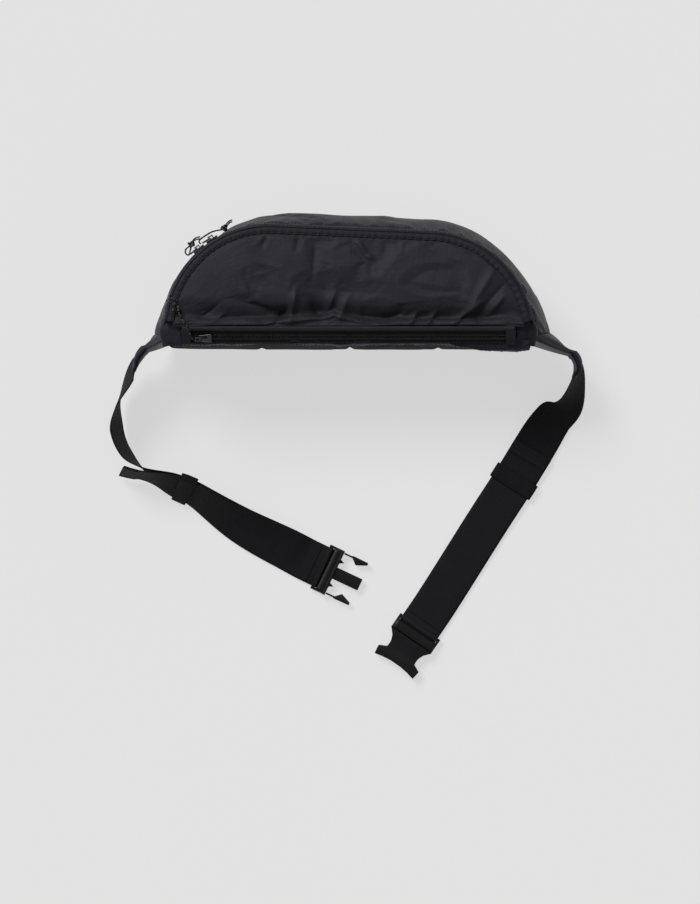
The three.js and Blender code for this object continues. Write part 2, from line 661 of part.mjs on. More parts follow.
// A point on a belt: across from its middle line and out of its visible face.
function onBelt(belt, length, across, out) {
  const f = belt.frame(length);
  return f.at.addScaledVector(f.across, across).addScaledVector(f.out, out);
}

// A length of single webbing.
function webbing(belt, from, to, steps) {
  const half = WEB_WIDTH / 2;
  return bent(steps, 2, 1, (u, v, w) =>
    onBelt(belt, lerp(from, to, u), lerp(-half, half, v), (w - 0.5) * WEB_THICKNESS));
}

const LEFT_STATIONS = [
  { x: 0, y: 0, lean: 0, lift: WEB_HEIGHT - WEB_WIDTH / 2 },
  { x: -2.2, y: -2.7, lean: 0, lift: WEB_HEIGHT - WEB_WIDTH / 2 },
  { x: -7, y: -8.5, lean: 8, lift: 25 },
  { x: -14, y: -18, lean: 18, lift: 19 },
  { x: -27.8, y: -48, lean: 0, lift: 7 },
  { x: -28.8, y: -70.5, lean: -15, lift: 3 },
  { x: -21, y: -90.5, lean: -13, lift: 1 },
  { x: -7, y: -104, lean: 2, lift: 1 },
  { x: 24.7, y: -120, lean: 33, lift: 3 },
  { x: 38.4, y: -125.8, lean: 35, lift: 3 },
  { x: 83.6, y: -156.4, lean: 60, lift: 0.6 },
  { x: 125.6, y: -178.8, lean: 82, lift: 0.1 },
  { x: 140, y: -186.7, lean: 90, lift: 0 },
  { x: 158.3, y: -195.5, lean: 90, lift: 0 },
];
const RIGHT_STATIONS = [
  { x: 0, y: 0, lean: 0, lift: WEB_HEIGHT - WEB_WIDTH / 2 },
  { x: 2, y: -3, lean: 0, lift: WEB_HEIGHT - WEB_WIDTH / 2 },
  { x: 5.2, y: -10, lean: 11, lift: 24 },
  { x: 4.6, y: -30.4, lean: 27, lift: 12 },
  { x: 0, y: -43.7, lean: 39, lift: 6.5 },
  { x: -13.3, y: -57, lean: 66, lift: 3 },
  { x: -30, y: -83.6, lean: 88, lift: 2.1 },
  { x: -43.9, y: -106.5, lean: 90, lift: 2.1 },
  { x: -51.7, y: -118.7, lean: 90, lift: 2.1 },
  { x: -70, y: -147, lean: 90, lift: 0.6 },
  { x: -118, y: -223, lean: 90, lift: 0 },
  { x: -135.1, y: -248.3, lean: 90, lift: 0 },
];
const leftBelt = makeBelt(1, leftTip, LEFT_STATIONS);
const rightBelt = makeBelt(-1, rightTip, RIGHT_STATIONS);

const secondLayer = WEB_THICKNESS + TOUCH;
const LOOP_REACH = 5.7;            // the webbing loop stands this far out behind each buckle
const MALE_INSET = 6;              // from the end of the belt's path to the edge of the end bar

const buckleAt = (belt) => belt.total - MALE_INSET;
const webEnd = (belt) => buckleAt(belt) - LOOP_REACH - TOUCH;

// The tail runs back over the belt. Its free end swings clear where the belt turns up towards the wing,
// with its lower edge further out than its upper edge.
const LEFT_TAIL = { length: 188, free: 36, swing: 11, splay: 8, rise: 7 };
const RIGHT_TAIL = { length: 183, free: 0, swing: 0, splay: 0, rise: 0 };
const HEM_LENGTH = 12;

function tail(belt, spec, steps) {
  const start = webEnd(belt) - spec.length;
  const half = WEB_WIDTH / 2;
  return bent(steps, 2, 1, (u, v, w) => {
    const length = lerp(start, webEnd(belt), u);
    const away = Math.max(0, start + spec.free - length) / Math.max(spec.free, 1);
    const up = UP.clone().multiplyScalar(spec.rise * away ** 2);
    const layers = length < start + HEM_LENGTH ? 2 : 1;
    const across = lerp(-half, half, v);
    const clear = (spec.swing - spec.splay * across / half) * away ** 2;
    const out = secondLayer - WEB_THICKNESS / 2 + clear + w * layers * WEB_THICKNESS;
    return onBelt(belt, length, across, out).add(up);
  });
}

const FOLD_GAP = 0.9;              // from the sewn end of the webbing to the start of the belt
const BELT_STEPS = 62;
const TAIL_STEPS = 38;
add('left_webbing', webbing(leftBelt, FOLD_GAP, webEnd(leftBelt), BELT_STEPS), WEBBING);
add('right_webbing', webbing(rightBelt, FOLD_GAP, webEnd(rightBelt), BELT_STEPS), WEBBING);
add('left_tail', tail(leftBelt, LEFT_TAIL, TAIL_STEPS), WEBBING);
add('right_tail', tail(rightBelt, RIGHT_TAIL, TAIL_STEPS), WEBBING);

// The end of each webbing, sewn to the inner face of its wing, as far as the fold where the belt swings.
function anchor(root, tip) {
  const along = tip.clone().sub(root).setZ(0).normalize();
  const side = outerSide(along);
  return bent(1, 1, 1, (u, v, w) => tip.clone()
    .addScaledVector(along, (u - 1) * ANCHOR_LENGTH)
    .addScaledVector(side, (w - 0.5) * WEB_THICKNESS)
    .setZ(WEB_HEIGHT + (v - 0.5) * WEB_WIDTH));
}
add('left_webbing_anchor', anchor(leftRoot, leftTip), WEBBING);
add('right_webbing_anchor', anchor(rightRoot, rightTip), WEBBING);

// Keepers: elastic sleeves that hold each tail to its belt.
function keeper(belt, middle) {
  const gap = KEEPER_GAP;
  const half = WEB_WIDTH / 2 + gap;
  const [low, high] = [-WEB_THICKNESS / 2 - gap, secondLayer + WEB_THICKNESS / 2 + gap];
  const wall = KEEPER_WALL;
  const inner = [[-half, low], [half, low], [half, high], [-half, high]];
  const outer = [[-half - wall, low - wall], [half + wall, low - wall], [half + wall, high + wall], [-half - wall, high + wall]];
  return sleeve(4, outer, inner, (u, across, out) =>
    onBelt(belt, middle + (u - 0.5) * KEEPER_LENGTH, across, out));
}
const LEFT_KEEPER_STATION = 8;
const RIGHT_KEEPER_STATION = 7;
const keeperMiddle = (belt, i) => (belt.stationAt[i] + belt.stationAt[i + 1]) / 2;
add('left_keeper', keeper(leftBelt, keeperMiddle(leftBelt, LEFT_KEEPER_STATION)), WEBBING);
add('right_keeper', keeper(rightBelt, keeperMiddle(rightBelt, RIGHT_KEEPER_STATION)), WEBBING);

// ---------------------------------------------------------------- buckle

// Each half of the buckle is drawn from the outer edge of its end bar: x towards the other half,
// y across the webbing, z up from the surface.
const slotHalf = WEB_WIDTH / 2 + TOUCH + 0.1;
const railOuter = slotHalf + RAIL;
const endBarLow = 2 * WEB_THICKNESS + 2 * TOUCH;
const frameHeight = endBarLow + END_BAR_HEIGHT;
const barLow = WEB_THICKNESS + TOUCH;
const legStart = END_BAR + BAR_SLOT;
const barStart = legStart + WEB_THICKNESS + TOUCH;
const legEnd = (bar) => barStart + bar + TOUCH + WEB_THICKNESS;
const loopTop = barLow + BAR_HEIGHT + TOUCH + WEB_THICKNESS;
const LOOP_EASE = 0.8;

// A prism whose outline is in (x, z), centred across y.
function crossPrism(outline, width) {
  const geometry = prism(outline, -width / 2, width / 2);
  geometry.rotateX(Math.PI / 2);
  return facingOut(geometry);
}

// The webbing of the belt turns up round the adjuster's bar and runs back as the tail.
function webbingLoop(bar) {
  const [end, t, ease] = [legEnd(bar), WEB_THICKNESS, LOOP_EASE];
  const outline = [
    [-LOOP_REACH, 0], [end - ease, 0], [end, ease], [end, loopTop - ease], [end - ease, loopTop],
    [legStart + ease, loopTop], [legStart, loopTop - ease], [legStart, barLow + t], [-LOOP_REACH, barLow + t],
    [-LOOP_REACH, barLow], [legStart + t, barLow], [legStart + t, loopTop - t], [end - t, loopTop - t],
    [end - t, t], [-LOOP_REACH, t],
  ];
  return crossPrism(outline, WEB_WIDTH);
}

const box = (x0, x1, y0, y1, z0, z1) => prism(rectangle(x0, x1, y0, y1), z0, z1);

// The adjuster frame: two rails, an end bar and the bar that the webbing turns round.
function adjuster(bar, reach) {
  const overlap = 0.5;
  return [
    box(0, reach + overlap, slotHalf, railOuter, 0, frameHeight),
    box(0, reach + overlap, -railOuter, -slotHalf, 0, frameHeight),
    box(0, END_BAR, -slotHalf - overlap, slotHalf + overlap, endBarLow, frameHeight),
    box(barStart, barStart + bar, -slotHalf - overlap, slotHalf + overlap, barLow, barLow + BAR_HEIGHT),
  ];
}

const CHAMFER = 1;
const prongLow = (BUCKLE_HEIGHT - PRONG_HEIGHT) / 2;
const prongHigh = prongLow + PRONG_HEIGHT;
const blockStart = legEnd(MALE_BAR) + TOUCH;
const blockEnd = blockStart + MALE_BLOCK;
const NUB = { length: 4, width: 4.5, middle: 11.5 };

function prongHalf() {
  const top = BUCKLE_HEIGHT - CHAMFER;
  const block = crossPrism([
    [blockStart, 0], [blockEnd, 0], [blockEnd, top], [blockEnd - CHAMFER, BUCKLE_HEIGHT],
    [blockStart + CHAMFER, BUCKLE_HEIGHT], [blockStart, top],
  ], 2 * railOuter);
  const guide = box(blockEnd - 1, blockEnd + GUIDE_LENGTH, -GUIDE_WIDTH / 2, GUIDE_WIDTH / 2, prongLow, prongHigh);
  const nubs = [-1, 1].map((side) => prism([
    [blockEnd - 1, side * (NUB.middle - NUB.width / 2)],
    [blockEnd - 1, side * (NUB.middle + NUB.width / 2)],
    [blockEnd + NUB.length, side * NUB.middle],
  ], prongLow, prongHigh));
  return joined(block, guide, ...nubs, ...adjuster(MALE_BAR, blockStart));
}

// A springing side prong, drawn from its root: a thin arm on the outside and a wedge-shaped head.
const PRONG_INSET = 1.2;
const prongRoot = { x: blockEnd + TOUCH, y: railOuter - PRONG_INSET - PRONG_ARM / 2 };
function sideProng(side) {
  const [arm, length] = [PRONG_ARM / 2, PRONG_LENGTH];
  const outline = [
    [0, -arm], [0.36 * length, -arm], [0.58 * length, -5.4], [0.98 * length, -1.3], [length, 0.2],
    [0.97 * length, 1.2], [0.36 * length, 1.4], [0.32 * length, arm], [0, arm],
  ];
  return prism(outline.map(([x, y]) => [prongRoot.x + x, side * (prongRoot.y + y)]), prongLow, prongHigh);
}

function socketHalf() {
  const start = legEnd(FEMALE_BAR) + BAR_SLOT;
  const at = (share) => start + share * HOUSING_LENGTH;
  const ear = railOuter - 0.2;
  const edge = [
    [0, railOuter], [0.2, WAIST_HALF_WIDTH + 2.2], [0.36, WAIST_HALF_WIDTH + 0.3], [0.5, WAIST_HALF_WIDTH],
    [0.6, WAIST_HALF_WIDTH + 0.4], [0.71, ear], [0.76, ear + 0.2], [1, ear - 0.8],
  ].map(([share, half]) => [at(share), half]);
  const MOUTH_DIP = 2.6;
  const mouth = [[at(1) - 0.6 * MOUTH_DIP, 0.62 * ear], [at(1) - MOUTH_DIP, 0.25 * ear]];
  const upper = [...edge, ...mouth];
  const lower = upper.map(([x, y]) => [x, -y]).reverse();
  const housing = prism([...upper, ...lower], 0, BUCKLE_HEIGHT);
  const cavity = box(
    at(0.2), at(1) + 1, -(ear - HOUSING_WALL), ear - HOUSING_WALL, HOUSING_WALL, BUCKLE_HEIGHT - HOUSING_WALL,
  );
  return joined(cut(housing, cavity), ...adjuster(FEMALE_BAR, start));
}

// A group that stands where a belt meets its buckle.
function buckleGroup(belt) {
  const f = belt.frame(buckleAt(belt));
  const group = new THREE.Group();
  const across = new THREE.Vector3().crossVectors(f.out, f.along);
  const origin = f.at.addScaledVector(f.out, -WEB_THICKNESS / 2);
  group.applyMatrix4(new THREE.Matrix4().makeBasis(f.along, across, f.out).setPosition(origin));
  pack.add(group);
  return group;
}
const maleGroup = buckleGroup(leftBelt);
add('buckle_prong_half', prongHalf(), PLASTIC, maleGroup);
add('buckle_upper_prong', sideProng(1), PLASTIC, maleGroup);
add('buckle_lower_prong', sideProng(-1), PLASTIC, maleGroup);
add('left_webbing_loop', webbingLoop(MALE_BAR), WEBBING, maleGroup);
const femaleGroup = buckleGroup(rightBelt);
add('buckle_socket_half', socketHalf(), PLASTIC, femaleGroup);
add('right_webbing_loop', webbingLoop(FEMALE_BAR), WEBBING, femaleGroup);

// ---------------------------------------------------------------- origin

// The origin goes under the middle of the object, on the surface that it stands on.
pack.updateMatrixWorld(true);
const extent = new THREE.Box3().setFromObject(pack, true);
const middle = extent.getCenter(new THREE.Vector3());
pack.position.set(-middle.x, -middle.y, -extent.min.z);

export default pack;
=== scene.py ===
# %% [markdown]
# A waist pack on its base, with its belt unbuckled and laid out in front of it.
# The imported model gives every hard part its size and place. Each cell below makes one piece of cloth,
# webbing, cord or metal round it. Shapes are functions of two parameters, worked out on whole grids.

# %% Load the fixed frame
import json

import bmesh
import bpy
import numpy as np
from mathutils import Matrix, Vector

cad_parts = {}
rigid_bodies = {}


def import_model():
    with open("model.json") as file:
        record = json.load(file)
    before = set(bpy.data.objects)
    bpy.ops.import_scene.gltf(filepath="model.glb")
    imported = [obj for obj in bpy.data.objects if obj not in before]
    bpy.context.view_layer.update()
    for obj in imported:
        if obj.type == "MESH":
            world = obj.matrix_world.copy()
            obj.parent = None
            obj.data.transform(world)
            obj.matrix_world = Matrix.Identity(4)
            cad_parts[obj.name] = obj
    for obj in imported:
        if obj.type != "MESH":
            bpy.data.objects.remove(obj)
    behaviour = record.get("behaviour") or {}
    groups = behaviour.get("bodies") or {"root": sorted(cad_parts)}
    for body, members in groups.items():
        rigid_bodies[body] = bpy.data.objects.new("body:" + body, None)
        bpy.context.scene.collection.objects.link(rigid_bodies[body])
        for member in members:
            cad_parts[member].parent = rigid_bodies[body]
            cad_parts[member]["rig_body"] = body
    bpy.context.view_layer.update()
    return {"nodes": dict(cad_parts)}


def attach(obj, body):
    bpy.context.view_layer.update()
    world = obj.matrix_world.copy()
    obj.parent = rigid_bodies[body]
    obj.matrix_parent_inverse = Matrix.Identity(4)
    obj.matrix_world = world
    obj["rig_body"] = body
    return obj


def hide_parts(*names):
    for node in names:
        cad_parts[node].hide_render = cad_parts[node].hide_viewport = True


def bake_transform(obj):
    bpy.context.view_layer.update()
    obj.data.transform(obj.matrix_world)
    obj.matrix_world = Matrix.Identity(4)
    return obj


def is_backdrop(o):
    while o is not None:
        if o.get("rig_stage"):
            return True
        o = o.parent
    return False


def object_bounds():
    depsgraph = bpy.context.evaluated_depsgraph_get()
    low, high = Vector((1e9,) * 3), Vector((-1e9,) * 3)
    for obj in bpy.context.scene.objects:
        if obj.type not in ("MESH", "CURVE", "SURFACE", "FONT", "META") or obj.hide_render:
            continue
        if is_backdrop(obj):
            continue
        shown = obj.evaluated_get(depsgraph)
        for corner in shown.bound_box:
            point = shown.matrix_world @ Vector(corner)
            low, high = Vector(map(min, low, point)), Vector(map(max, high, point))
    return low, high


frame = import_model()
nodes = frame["nodes"]

# %% [markdown]
# The camera looks straight down from three metres, so the pack is seen almost in plan and its top is
# a little larger than its base. It comes first, because the cords are checked against its view.

# %% Camera
MM = 0.001
SHIFT = np.array([1.301, -3.196, 0.0])      # from the drawing's origin to the middle of the object, in mm
CAMERA_HEIGHT = 3.0
VIEW_HEIGHT = 0.8136                        # what the view's long side takes in at the floor
SENSOR = 36.0

camera_data = bpy.data.cameras.new("camera")
camera_data.sensor_fit = "VERTICAL"
camera_data.sensor_height = SENSOR
camera_data.lens = SENSOR * CAMERA_HEIGHT / VIEW_HEIGHT
camera = bpy.data.objects.new("camera", camera_data)
camera.location = (SHIFT[0] * MM, SHIFT[1] * MM, CAMERA_HEIGHT)
bpy.context.scene.collection.objects.link(camera)
bpy.context.scene.camera = camera
print("camera lens", round(camera_data.lens, 1), "mm")

# %% [markdown]
# Everything sewn follows the main zip, so its plan is worked out once: three straight runs and two
# shoulder arcs that touch end to end. A point on the bag is then a length along the zip, a distance
# outwards from it and a height.

# %% Plan of the main zip
ZIP_HEIGHT = 112.0
ZIP_START = (-160.5, 108.2)
END_HEADING = 80.0
TOP_FALL = 2.5
RADII = (np.inf, 89.5, np.inf, 91.5, np.inf)
TURNS = (0.0, END_HEADING + TOP_FALL, 0.0, END_HEADING - TOP_FALL, 0.0)
LENGTHS = (14.0, 89.5 * np.radians(TURNS[1]), 137.0, 91.5 * np.radians(TURNS[3]), 6.0)
ZIP_LENGTH = sum(LENGTHS)


def zip_plan(length):
    """Place and heading at each length: straight runs add length times (cos, sin) of the heading, and
    an arc of radius r adds r times the change of (sin, -cos) while its heading falls by length / r."""
    left = np.asarray(length, float)
    x = np.full(left.shape, ZIP_START[0])
    y = np.full(left.shape, ZIP_START[1])
    heading = np.full(left.shape, np.radians(END_HEADING))
    for i, (run, radius) in enumerate(zip(LENGTHS, RADII)):
        step = left if i == len(RADII) - 1 else np.minimum(left, run)
        if i:
            step = np.maximum(step, 0.0)
        if np.isinf(radius):
            x, y = x + step * np.cos(heading), y + step * np.sin(heading)
        else:
            turned = heading - step / radius
            x = x + radius * (np.sin(heading) - np.sin(turned))
            y = y + radius * (np.cos(turned) - np.cos(heading))
            heading = turned
        left = left - step
    return x, y, heading


def beside_zip(length, out, z):
    """Points at a distance outwards from the zip's plane, at height z, as an array of (x, y, z) in mm."""
    x, y, heading = zip_plan(length)
    return np.stack(np.broadcast_arrays(x - out * np.sin(heading), y + out * np.cos(heading), z), -1)


print("main zip", round(ZIP_LENGTH, 1), "mm long")

# %% [markdown]
# A surface is a grid of points. One helper turns the grid into a mesh, gives it a UV map in metres
# along and across the cloth, and closes it into a shell with real thickness when it is asked to.


# %% Grids into meshes
def add_object(name, mesh):
    thing = bpy.data.objects.new(name, mesh)
    bpy.context.scene.collection.objects.link(thing)
    return thing


def grid_faces(rows, columns, wrap=False):
    """The quads of a grid, as four arrays of point numbers, closed round its columns if wrap is set."""
    i, j = np.meshgrid(np.arange(rows - 1), np.arange(columns - (0 if wrap else 1)), indexing="ij")
    k = (j + 1) % columns
    a, b = i * columns + j, i * columns + k
    return np.stack([a, b, b + columns, a + columns], -1).reshape(-1, 4)


def mesh_from(name, points, faces, uv=None):
    """A mesh from points in mm and quads; uv holds one pair for each point."""
    mesh = bpy.data.meshes.new(name)
    count, quads = len(points), len(faces)
    mesh.vertices.add(count)
    mesh.vertices.foreach_set("co", ((points + SHIFT) * MM).astype(np.float32).ravel())
    mesh.loops.add(quads * 4)
    mesh.loops.foreach_set("vertex_index", faces.astype(np.int32).ravel())
    mesh.polygons.add(quads)
    mesh.polygons.foreach_set("loop_start", np.arange(0, quads * 4, 4, dtype=np.int32))
    mesh.update(calc_edges=True)
    if uv is not None:
        layer = mesh.uv_layers.new(name="cloth")
        layer.data.foreach_set("uv", (uv[faces.ravel()] * MM).astype(np.float32).ravel())
    mesh.polygons.foreach_set("use_smooth", np.ones(quads, dtype=bool))
    mesh.validate()
    return mesh


def grid_normals(points):
    """Unit normals of a grid of points: the cross product of its two central differences."""
    along = np.gradient(points, axis=0)
    across = np.gradient(points, axis=1)
    normal = np.cross(along, across)
    return normal / np.maximum(np.linalg.norm(normal, axis=-1, keepdims=True), 1e-9)


def oriented(grid, out):
    """The grid, turned over if its normals point against out."""
    return grid if np.sum(grid_normals(grid) * out) > 0 else grid[::-1]


def run_along(path):
    """The length along a path at each of its points: the sum of its steps so far."""
    return np.concatenate([[0], np.cumsum(np.linalg.norm(np.diff(path, axis=0), axis=1))])


def arc_uv(points):
    """A UV in mm from the lengths along the middle row and the middle column of the grid."""
    rows, columns = points.shape[:2]
    u, v = run_along(points[:, columns // 2]), run_along(points[rows // 2])
    return np.stack(np.meshgrid(u, v, indexing="ij"), -1).reshape(-1, 2)


def shell(name, outer, thickness, uv=None):
    """A closed sheet: the outer grid, the same grid moved in along its normals, and a rim between them.
    thickness is in mm and positive, and the grid's normals point outwards."""
    rows, columns = outer.shape[:2]
    inner = outer - grid_normals(outer) * thickness
    points = np.concatenate([outer.reshape(-1, 3), inner.reshape(-1, 3)])
    top = grid_faces(rows, columns)
    count = rows * columns
    ring = np.concatenate([
        np.arange(columns), np.arange(1, rows) * columns + columns - 1,
        (rows - 1) * columns + np.arange(columns - 2, -1, -1), np.arange(rows - 2, 0, -1) * columns,
    ])
    after = np.roll(ring, -1)
    rim = np.stack([ring, ring + count, after + count, after], -1)
    faces = np.concatenate([top, top[:, ::-1] + count, rim])
    flat = arc_uv(outer) if uv is None else uv
    return add_object(name, mesh_from(name, points, faces, np.concatenate([flat, flat])))


def facing_up(piece):
    """Turns a closed piece's faces outwards."""
    sculpt = bmesh.new()
    sculpt.from_mesh(piece.data)
    bmesh.ops.remove_doubles(sculpt, verts=sculpt.verts, dist=1e-7)
    bmesh.ops.recalc_face_normals(sculpt, faces=sculpt.faces)
    sculpt.to_mesh(piece.data)
    sculpt.free()
    return piece


# %% [markdown]
# Each zip pull carries a loop of thin flecked cord. The cord runs out from the pull's hole to a knot and
# back again, so it is a tube carried along one smooth path. A bent wire would be too stiff: the two strands
# lie loosely side by side, as a limp cord does.

# %% Smooth paths and tubes
def catmull_rom(points):
    """A centripetal Catmull-Rom curve: cubic pieces whose knots are spaced by the square root of each
    chord. Gives a dense curve, the length along it at each of its points and at each given point."""
    p = np.asarray(points, float)
    p = np.concatenate([[2 * p[0] - p[1]], p, [2 * p[-1] - p[-2]]])
    knot = np.concatenate([[0], np.cumsum(np.sqrt(np.linalg.norm(np.diff(p, axis=0), axis=1)))])
    fine = np.linspace(knot[1], knot[-2], 40 * len(p))
    k = np.clip(np.searchsorted(knot, fine, side="right") - 1, 1, len(p) - 3)
    t = [knot[k + i] for i in (-1, 0, 1, 2)]
    q = [p[k + i] for i in (-1, 0, 1, 2)]

    def mix(a, b, ta, tb):
        share = ((fine - ta) / (tb - ta))[:, None]
        return a * (1 - share) + b * share

    a = [mix(q[i], q[i + 1], t[i], t[i + 1]) for i in range(3)]
    b = [mix(a[0], a[1], t[0], t[2]), mix(a[1], a[2], t[1], t[3])]
    curve = mix(b[0], b[1], t[1], t[2])
    run = run_along(curve)
    return curve, run, np.interp(knot[1:-1], fine, run)


def along_path(curve, run, where):
    return np.stack([np.interp(where, run, curve[:, i]) for i in range(curve.shape[1])], -1)


def smooth_path(points, count):
    """A centripetal Catmull-Rom curve through the points, as count points spaced evenly along it."""
    curve, run, _ = catmull_rom(points)
    return along_path(curve, run, np.linspace(0, run[-1], count))


def path_length(path):
    return float(np.linalg.norm(np.diff(path, axis=0), axis=1).sum())


def frames_along(path):
    """Tangent and two normals at each point, each pair turned from the last by the smallest turn."""
    tangent = np.gradient(path, axis=0)
    tangent /= np.linalg.norm(tangent, axis=1, keepdims=True)
    start = np.cross(tangent[0], (0.31, 0.22, 0.93))
    normals = [start / np.linalg.norm(start)]
    for t in tangent[1:]:
        n = normals[-1] - t * normals[-1].dot(t)
        normals.append(n / np.linalg.norm(n))
    normal = np.array(normals)
    return tangent, normal, np.cross(tangent, normal)


def tube(name, path, radius, sides=10, closed=False):
    """A tube: each point of the path plus radius times (cos v, sin v) in the plane across it. Its ends
    are drawn in to points, or it runs back into itself if closed is set."""
    _, normal, side = frames_along(path)
    v = np.arange(sides) * 2 * np.pi / sides
    r = np.full(len(path), radius, float)
    if not closed:
        path = np.concatenate([path[:1], path, path[-1:]])
        normal, side = (np.concatenate([a[:1], a, a[-1:]]) for a in (normal, side))
        r = np.concatenate([[radius * 0.02], r, [radius * 0.02]])
    ring = normal[:, None] * np.cos(v)[None, :, None] + side[:, None] * np.sin(v)[None, :, None]
    points = path[:, None] + ring * r[:, None, None]
    faces = grid_faces(len(path), sides, wrap=True)
    if closed:
        last = (len(path) - 1) * sides
        faces = np.concatenate([faces, np.stack([
            last + np.arange(sides), last + (np.arange(sides) + 1) % sides,
            (np.arange(sides) + 1) % sides, np.arange(sides)], -1)])
    run = run_along(path)
    uv = np.stack(np.meshgrid(run, v * radius, indexing="ij"), -1).reshape(-1, 2)
    return facing_up(add_object(name, mesh_from(name, points.reshape(-1, 3), faces, uv)))


# %% Places of the zip sliders
PIVOT_OUT = 4.5                             # from the zip's plane to the middle of the pull
PIVOT_BACK = 0.7                            # from the slider's middle to the pull's bar
HOLE = 5.8                                  # from the bar to the hole for the cord
LEFT_SLIDER, RIGHT_SLIDER = 74.3, 88.0      # along the main zip
REAR_SLOPE = np.radians(35.0)
UP = np.array([0.0, 0.0, 1.0])
SLOPE_OUT = np.array([0.0, -np.sin(REAR_SLOPE), np.cos(REAR_SLOPE)])
REAR_ZIP = np.array([0.0, 100.0, ZIP_HEIGHT + 4.0])
BACK_LEFT = float(beside_zip(-7.0, 0.0, 0.0)[0]) + 2.4
BACK_RIGHT = float(beside_zip(ZIP_LENGTH + 7.0, 0.0, 0.0)[0]) - 2.4
REAR_LEFT, REAR_RIGHT = BACK_LEFT + 22.0, BACK_RIGHT - 22.0


def main_stand(length):
    """Origin, along and outward directions of a slider on the main zip."""
    _, _, heading = zip_plan(length)
    along = np.array([np.cos(heading), np.sin(heading), 0.0])
    return beside_zip(length, 0.0, ZIP_HEIGHT), along, np.array([-along[1], along[0], 0.0])


REAR_STAND = (REAR_ZIP + (REAR_LEFT + 12.0, 0, 0), np.array([1.0, 0, 0]), SLOPE_OUT)
STANDS = {"left": main_stand(LEFT_SLIDER), "right": main_stand(RIGHT_SLIDER), "rear": REAR_STAND}


def on_pull(which, points):
    """Points given from a pull's bar as (along the pull, across it, outwards), in the drawing's mm."""
    origin, along, out = STANDS[which]
    pivot = origin - along * PIVOT_BACK + out * PIVOT_OUT
    basis = np.stack([-along, np.cross(out, -along), out])
    return pivot + np.asarray(points, float) @ basis


# %% Cord loops, knots and tails
CORD_RADIUS = 0.62
KNOT_RADIUS = CORD_RADIUS * 1.6             # a knot's turns swell where they cross
KNOT_SIZE = 2.5
STRAND_GAP = 1.0                            # half the way between the two strands of a loop
SHORT_LOOP = 30.0
CORD_LINES = {
    "left": [(9.4, 0, 0.2), (10.2, 0, 2), (9.9, 0, 4), (8.4, 0, 5.4), (6.6, 0, 5.8), (5.2, 0, 5.8)],
    "right": [(9.4, 0, 0.2), (9.9, 0, 1.8), (9, 0, 3.3), (6.6, 0, 3.9), (2, 0, 4), (-4, 0, 3.8),
              (-8.6, 0, 2.4), (-11.3, 0, 1.3)],
    "rear": [(9.4, 0, 0.2), (10.8, -2.4, 1.2), (12.2, -6.5, 1.1), (14, -10.6, -0.4), (16.6, -15, -3.2),
             (19.6, -19.4, -6), (22.2, -23, -8.4)],
}
KNOTS = {"left": (1.4, 0, 5.8), "right": (-15.2, 0, 0.8), "rear": (24.2, -25.7, -9.4)}
TAILS = {
    "left": [[(0.2, 0.4, 6.2), (-2.6, 1.4, 7.4), (-6.0, 2.6, 7.0), (-8.6, 3.0, 5.4)],
             [(0.4, -0.6, 5.6), (-2.2, -1.6, 6.6), (-5.0, -3.0, 6.2), (-7.4, -4.2, 4.8)]],
    "right": [[(-16.6, 0.6, 1.4), (-19.0, 1.6, 2.8), (-22.0, 2.4, 3.4), (-24.6, 3.4, 2.8)],
              [(-16.8, -0.4, 0.6), (-19.2, -1.2, 1.6), (-21.6, -2.8, 2.4), (-23.6, -4.6, 2.2)]],
    "rear": [[(25.0, -26.8, -9.6), (26.6, -29.2, -10.2), (29.4, -31.0, -11.6), (32.6, -32.0, -12.6)],
             [(24.6, -27.4, -9.8), (25.2, -30.2, -11.0), (27.2, -33.4, -13.2), (29.6, -35.6, -14.6)]],
}


def strand_pair(line, gap):
    """A loop of cord: out along the line with one offset, round inside the knot and back with the other.
    The offset is across both the line and its widest plane."""
    centre = smooth_path(line, 26)
    tangent = np.gradient(centre, axis=0)
    tangent /= np.linalg.norm(tangent, axis=1, keepdims=True)
    leaves_plane = abs(centre[:, 1]).max() > 1
    across = np.cross(tangent, np.cross(tangent[0], tangent[-1]) if leaves_plane else (0, 1, 0))
    across = across if leaves_plane else np.cross(across, tangent)
    across /= np.linalg.norm(across, axis=1, keepdims=True)
    share = np.linspace(0, 1, len(centre))[:, None]
    spread = gap * (0.35 + 0.9 * np.sin(np.pi * np.clip(share * 1.15, 0, 1)) ** 0.8)
    turn = centre[-1] + tangent[-1] * 3.2
    return np.concatenate([centre + across * spread, [turn], (centre - across * spread)[::-1]])


def knot_path(middle, size, seed):
    """A trefoil knot: (sin t + 2 sin 2t, cos t - 2 cos 2t, -1.5 sin 3t), scaled to size and turned."""
    t = np.linspace(0, 2 * np.pi, 72, endpoint=False)
    x, y = np.sin(t) + 2 * np.sin(2 * t), np.cos(t) - 2 * np.cos(2 * t)
    trefoil = np.stack([x, y, -1.5 * np.sin(3 * t)], -1)
    a, b = np.random.default_rng(seed).uniform(0, np.pi, 2)
    turn = np.array([[np.cos(a), -np.sin(a), 0], [np.sin(a), np.cos(a), 0], [0, 0, 1]])
    tilt = np.array([[1, 0, 0], [0, np.cos(b), -np.sin(b)], [0, np.sin(b), np.cos(b)]])
    return middle + trefoil @ turn @ tilt * size / 3


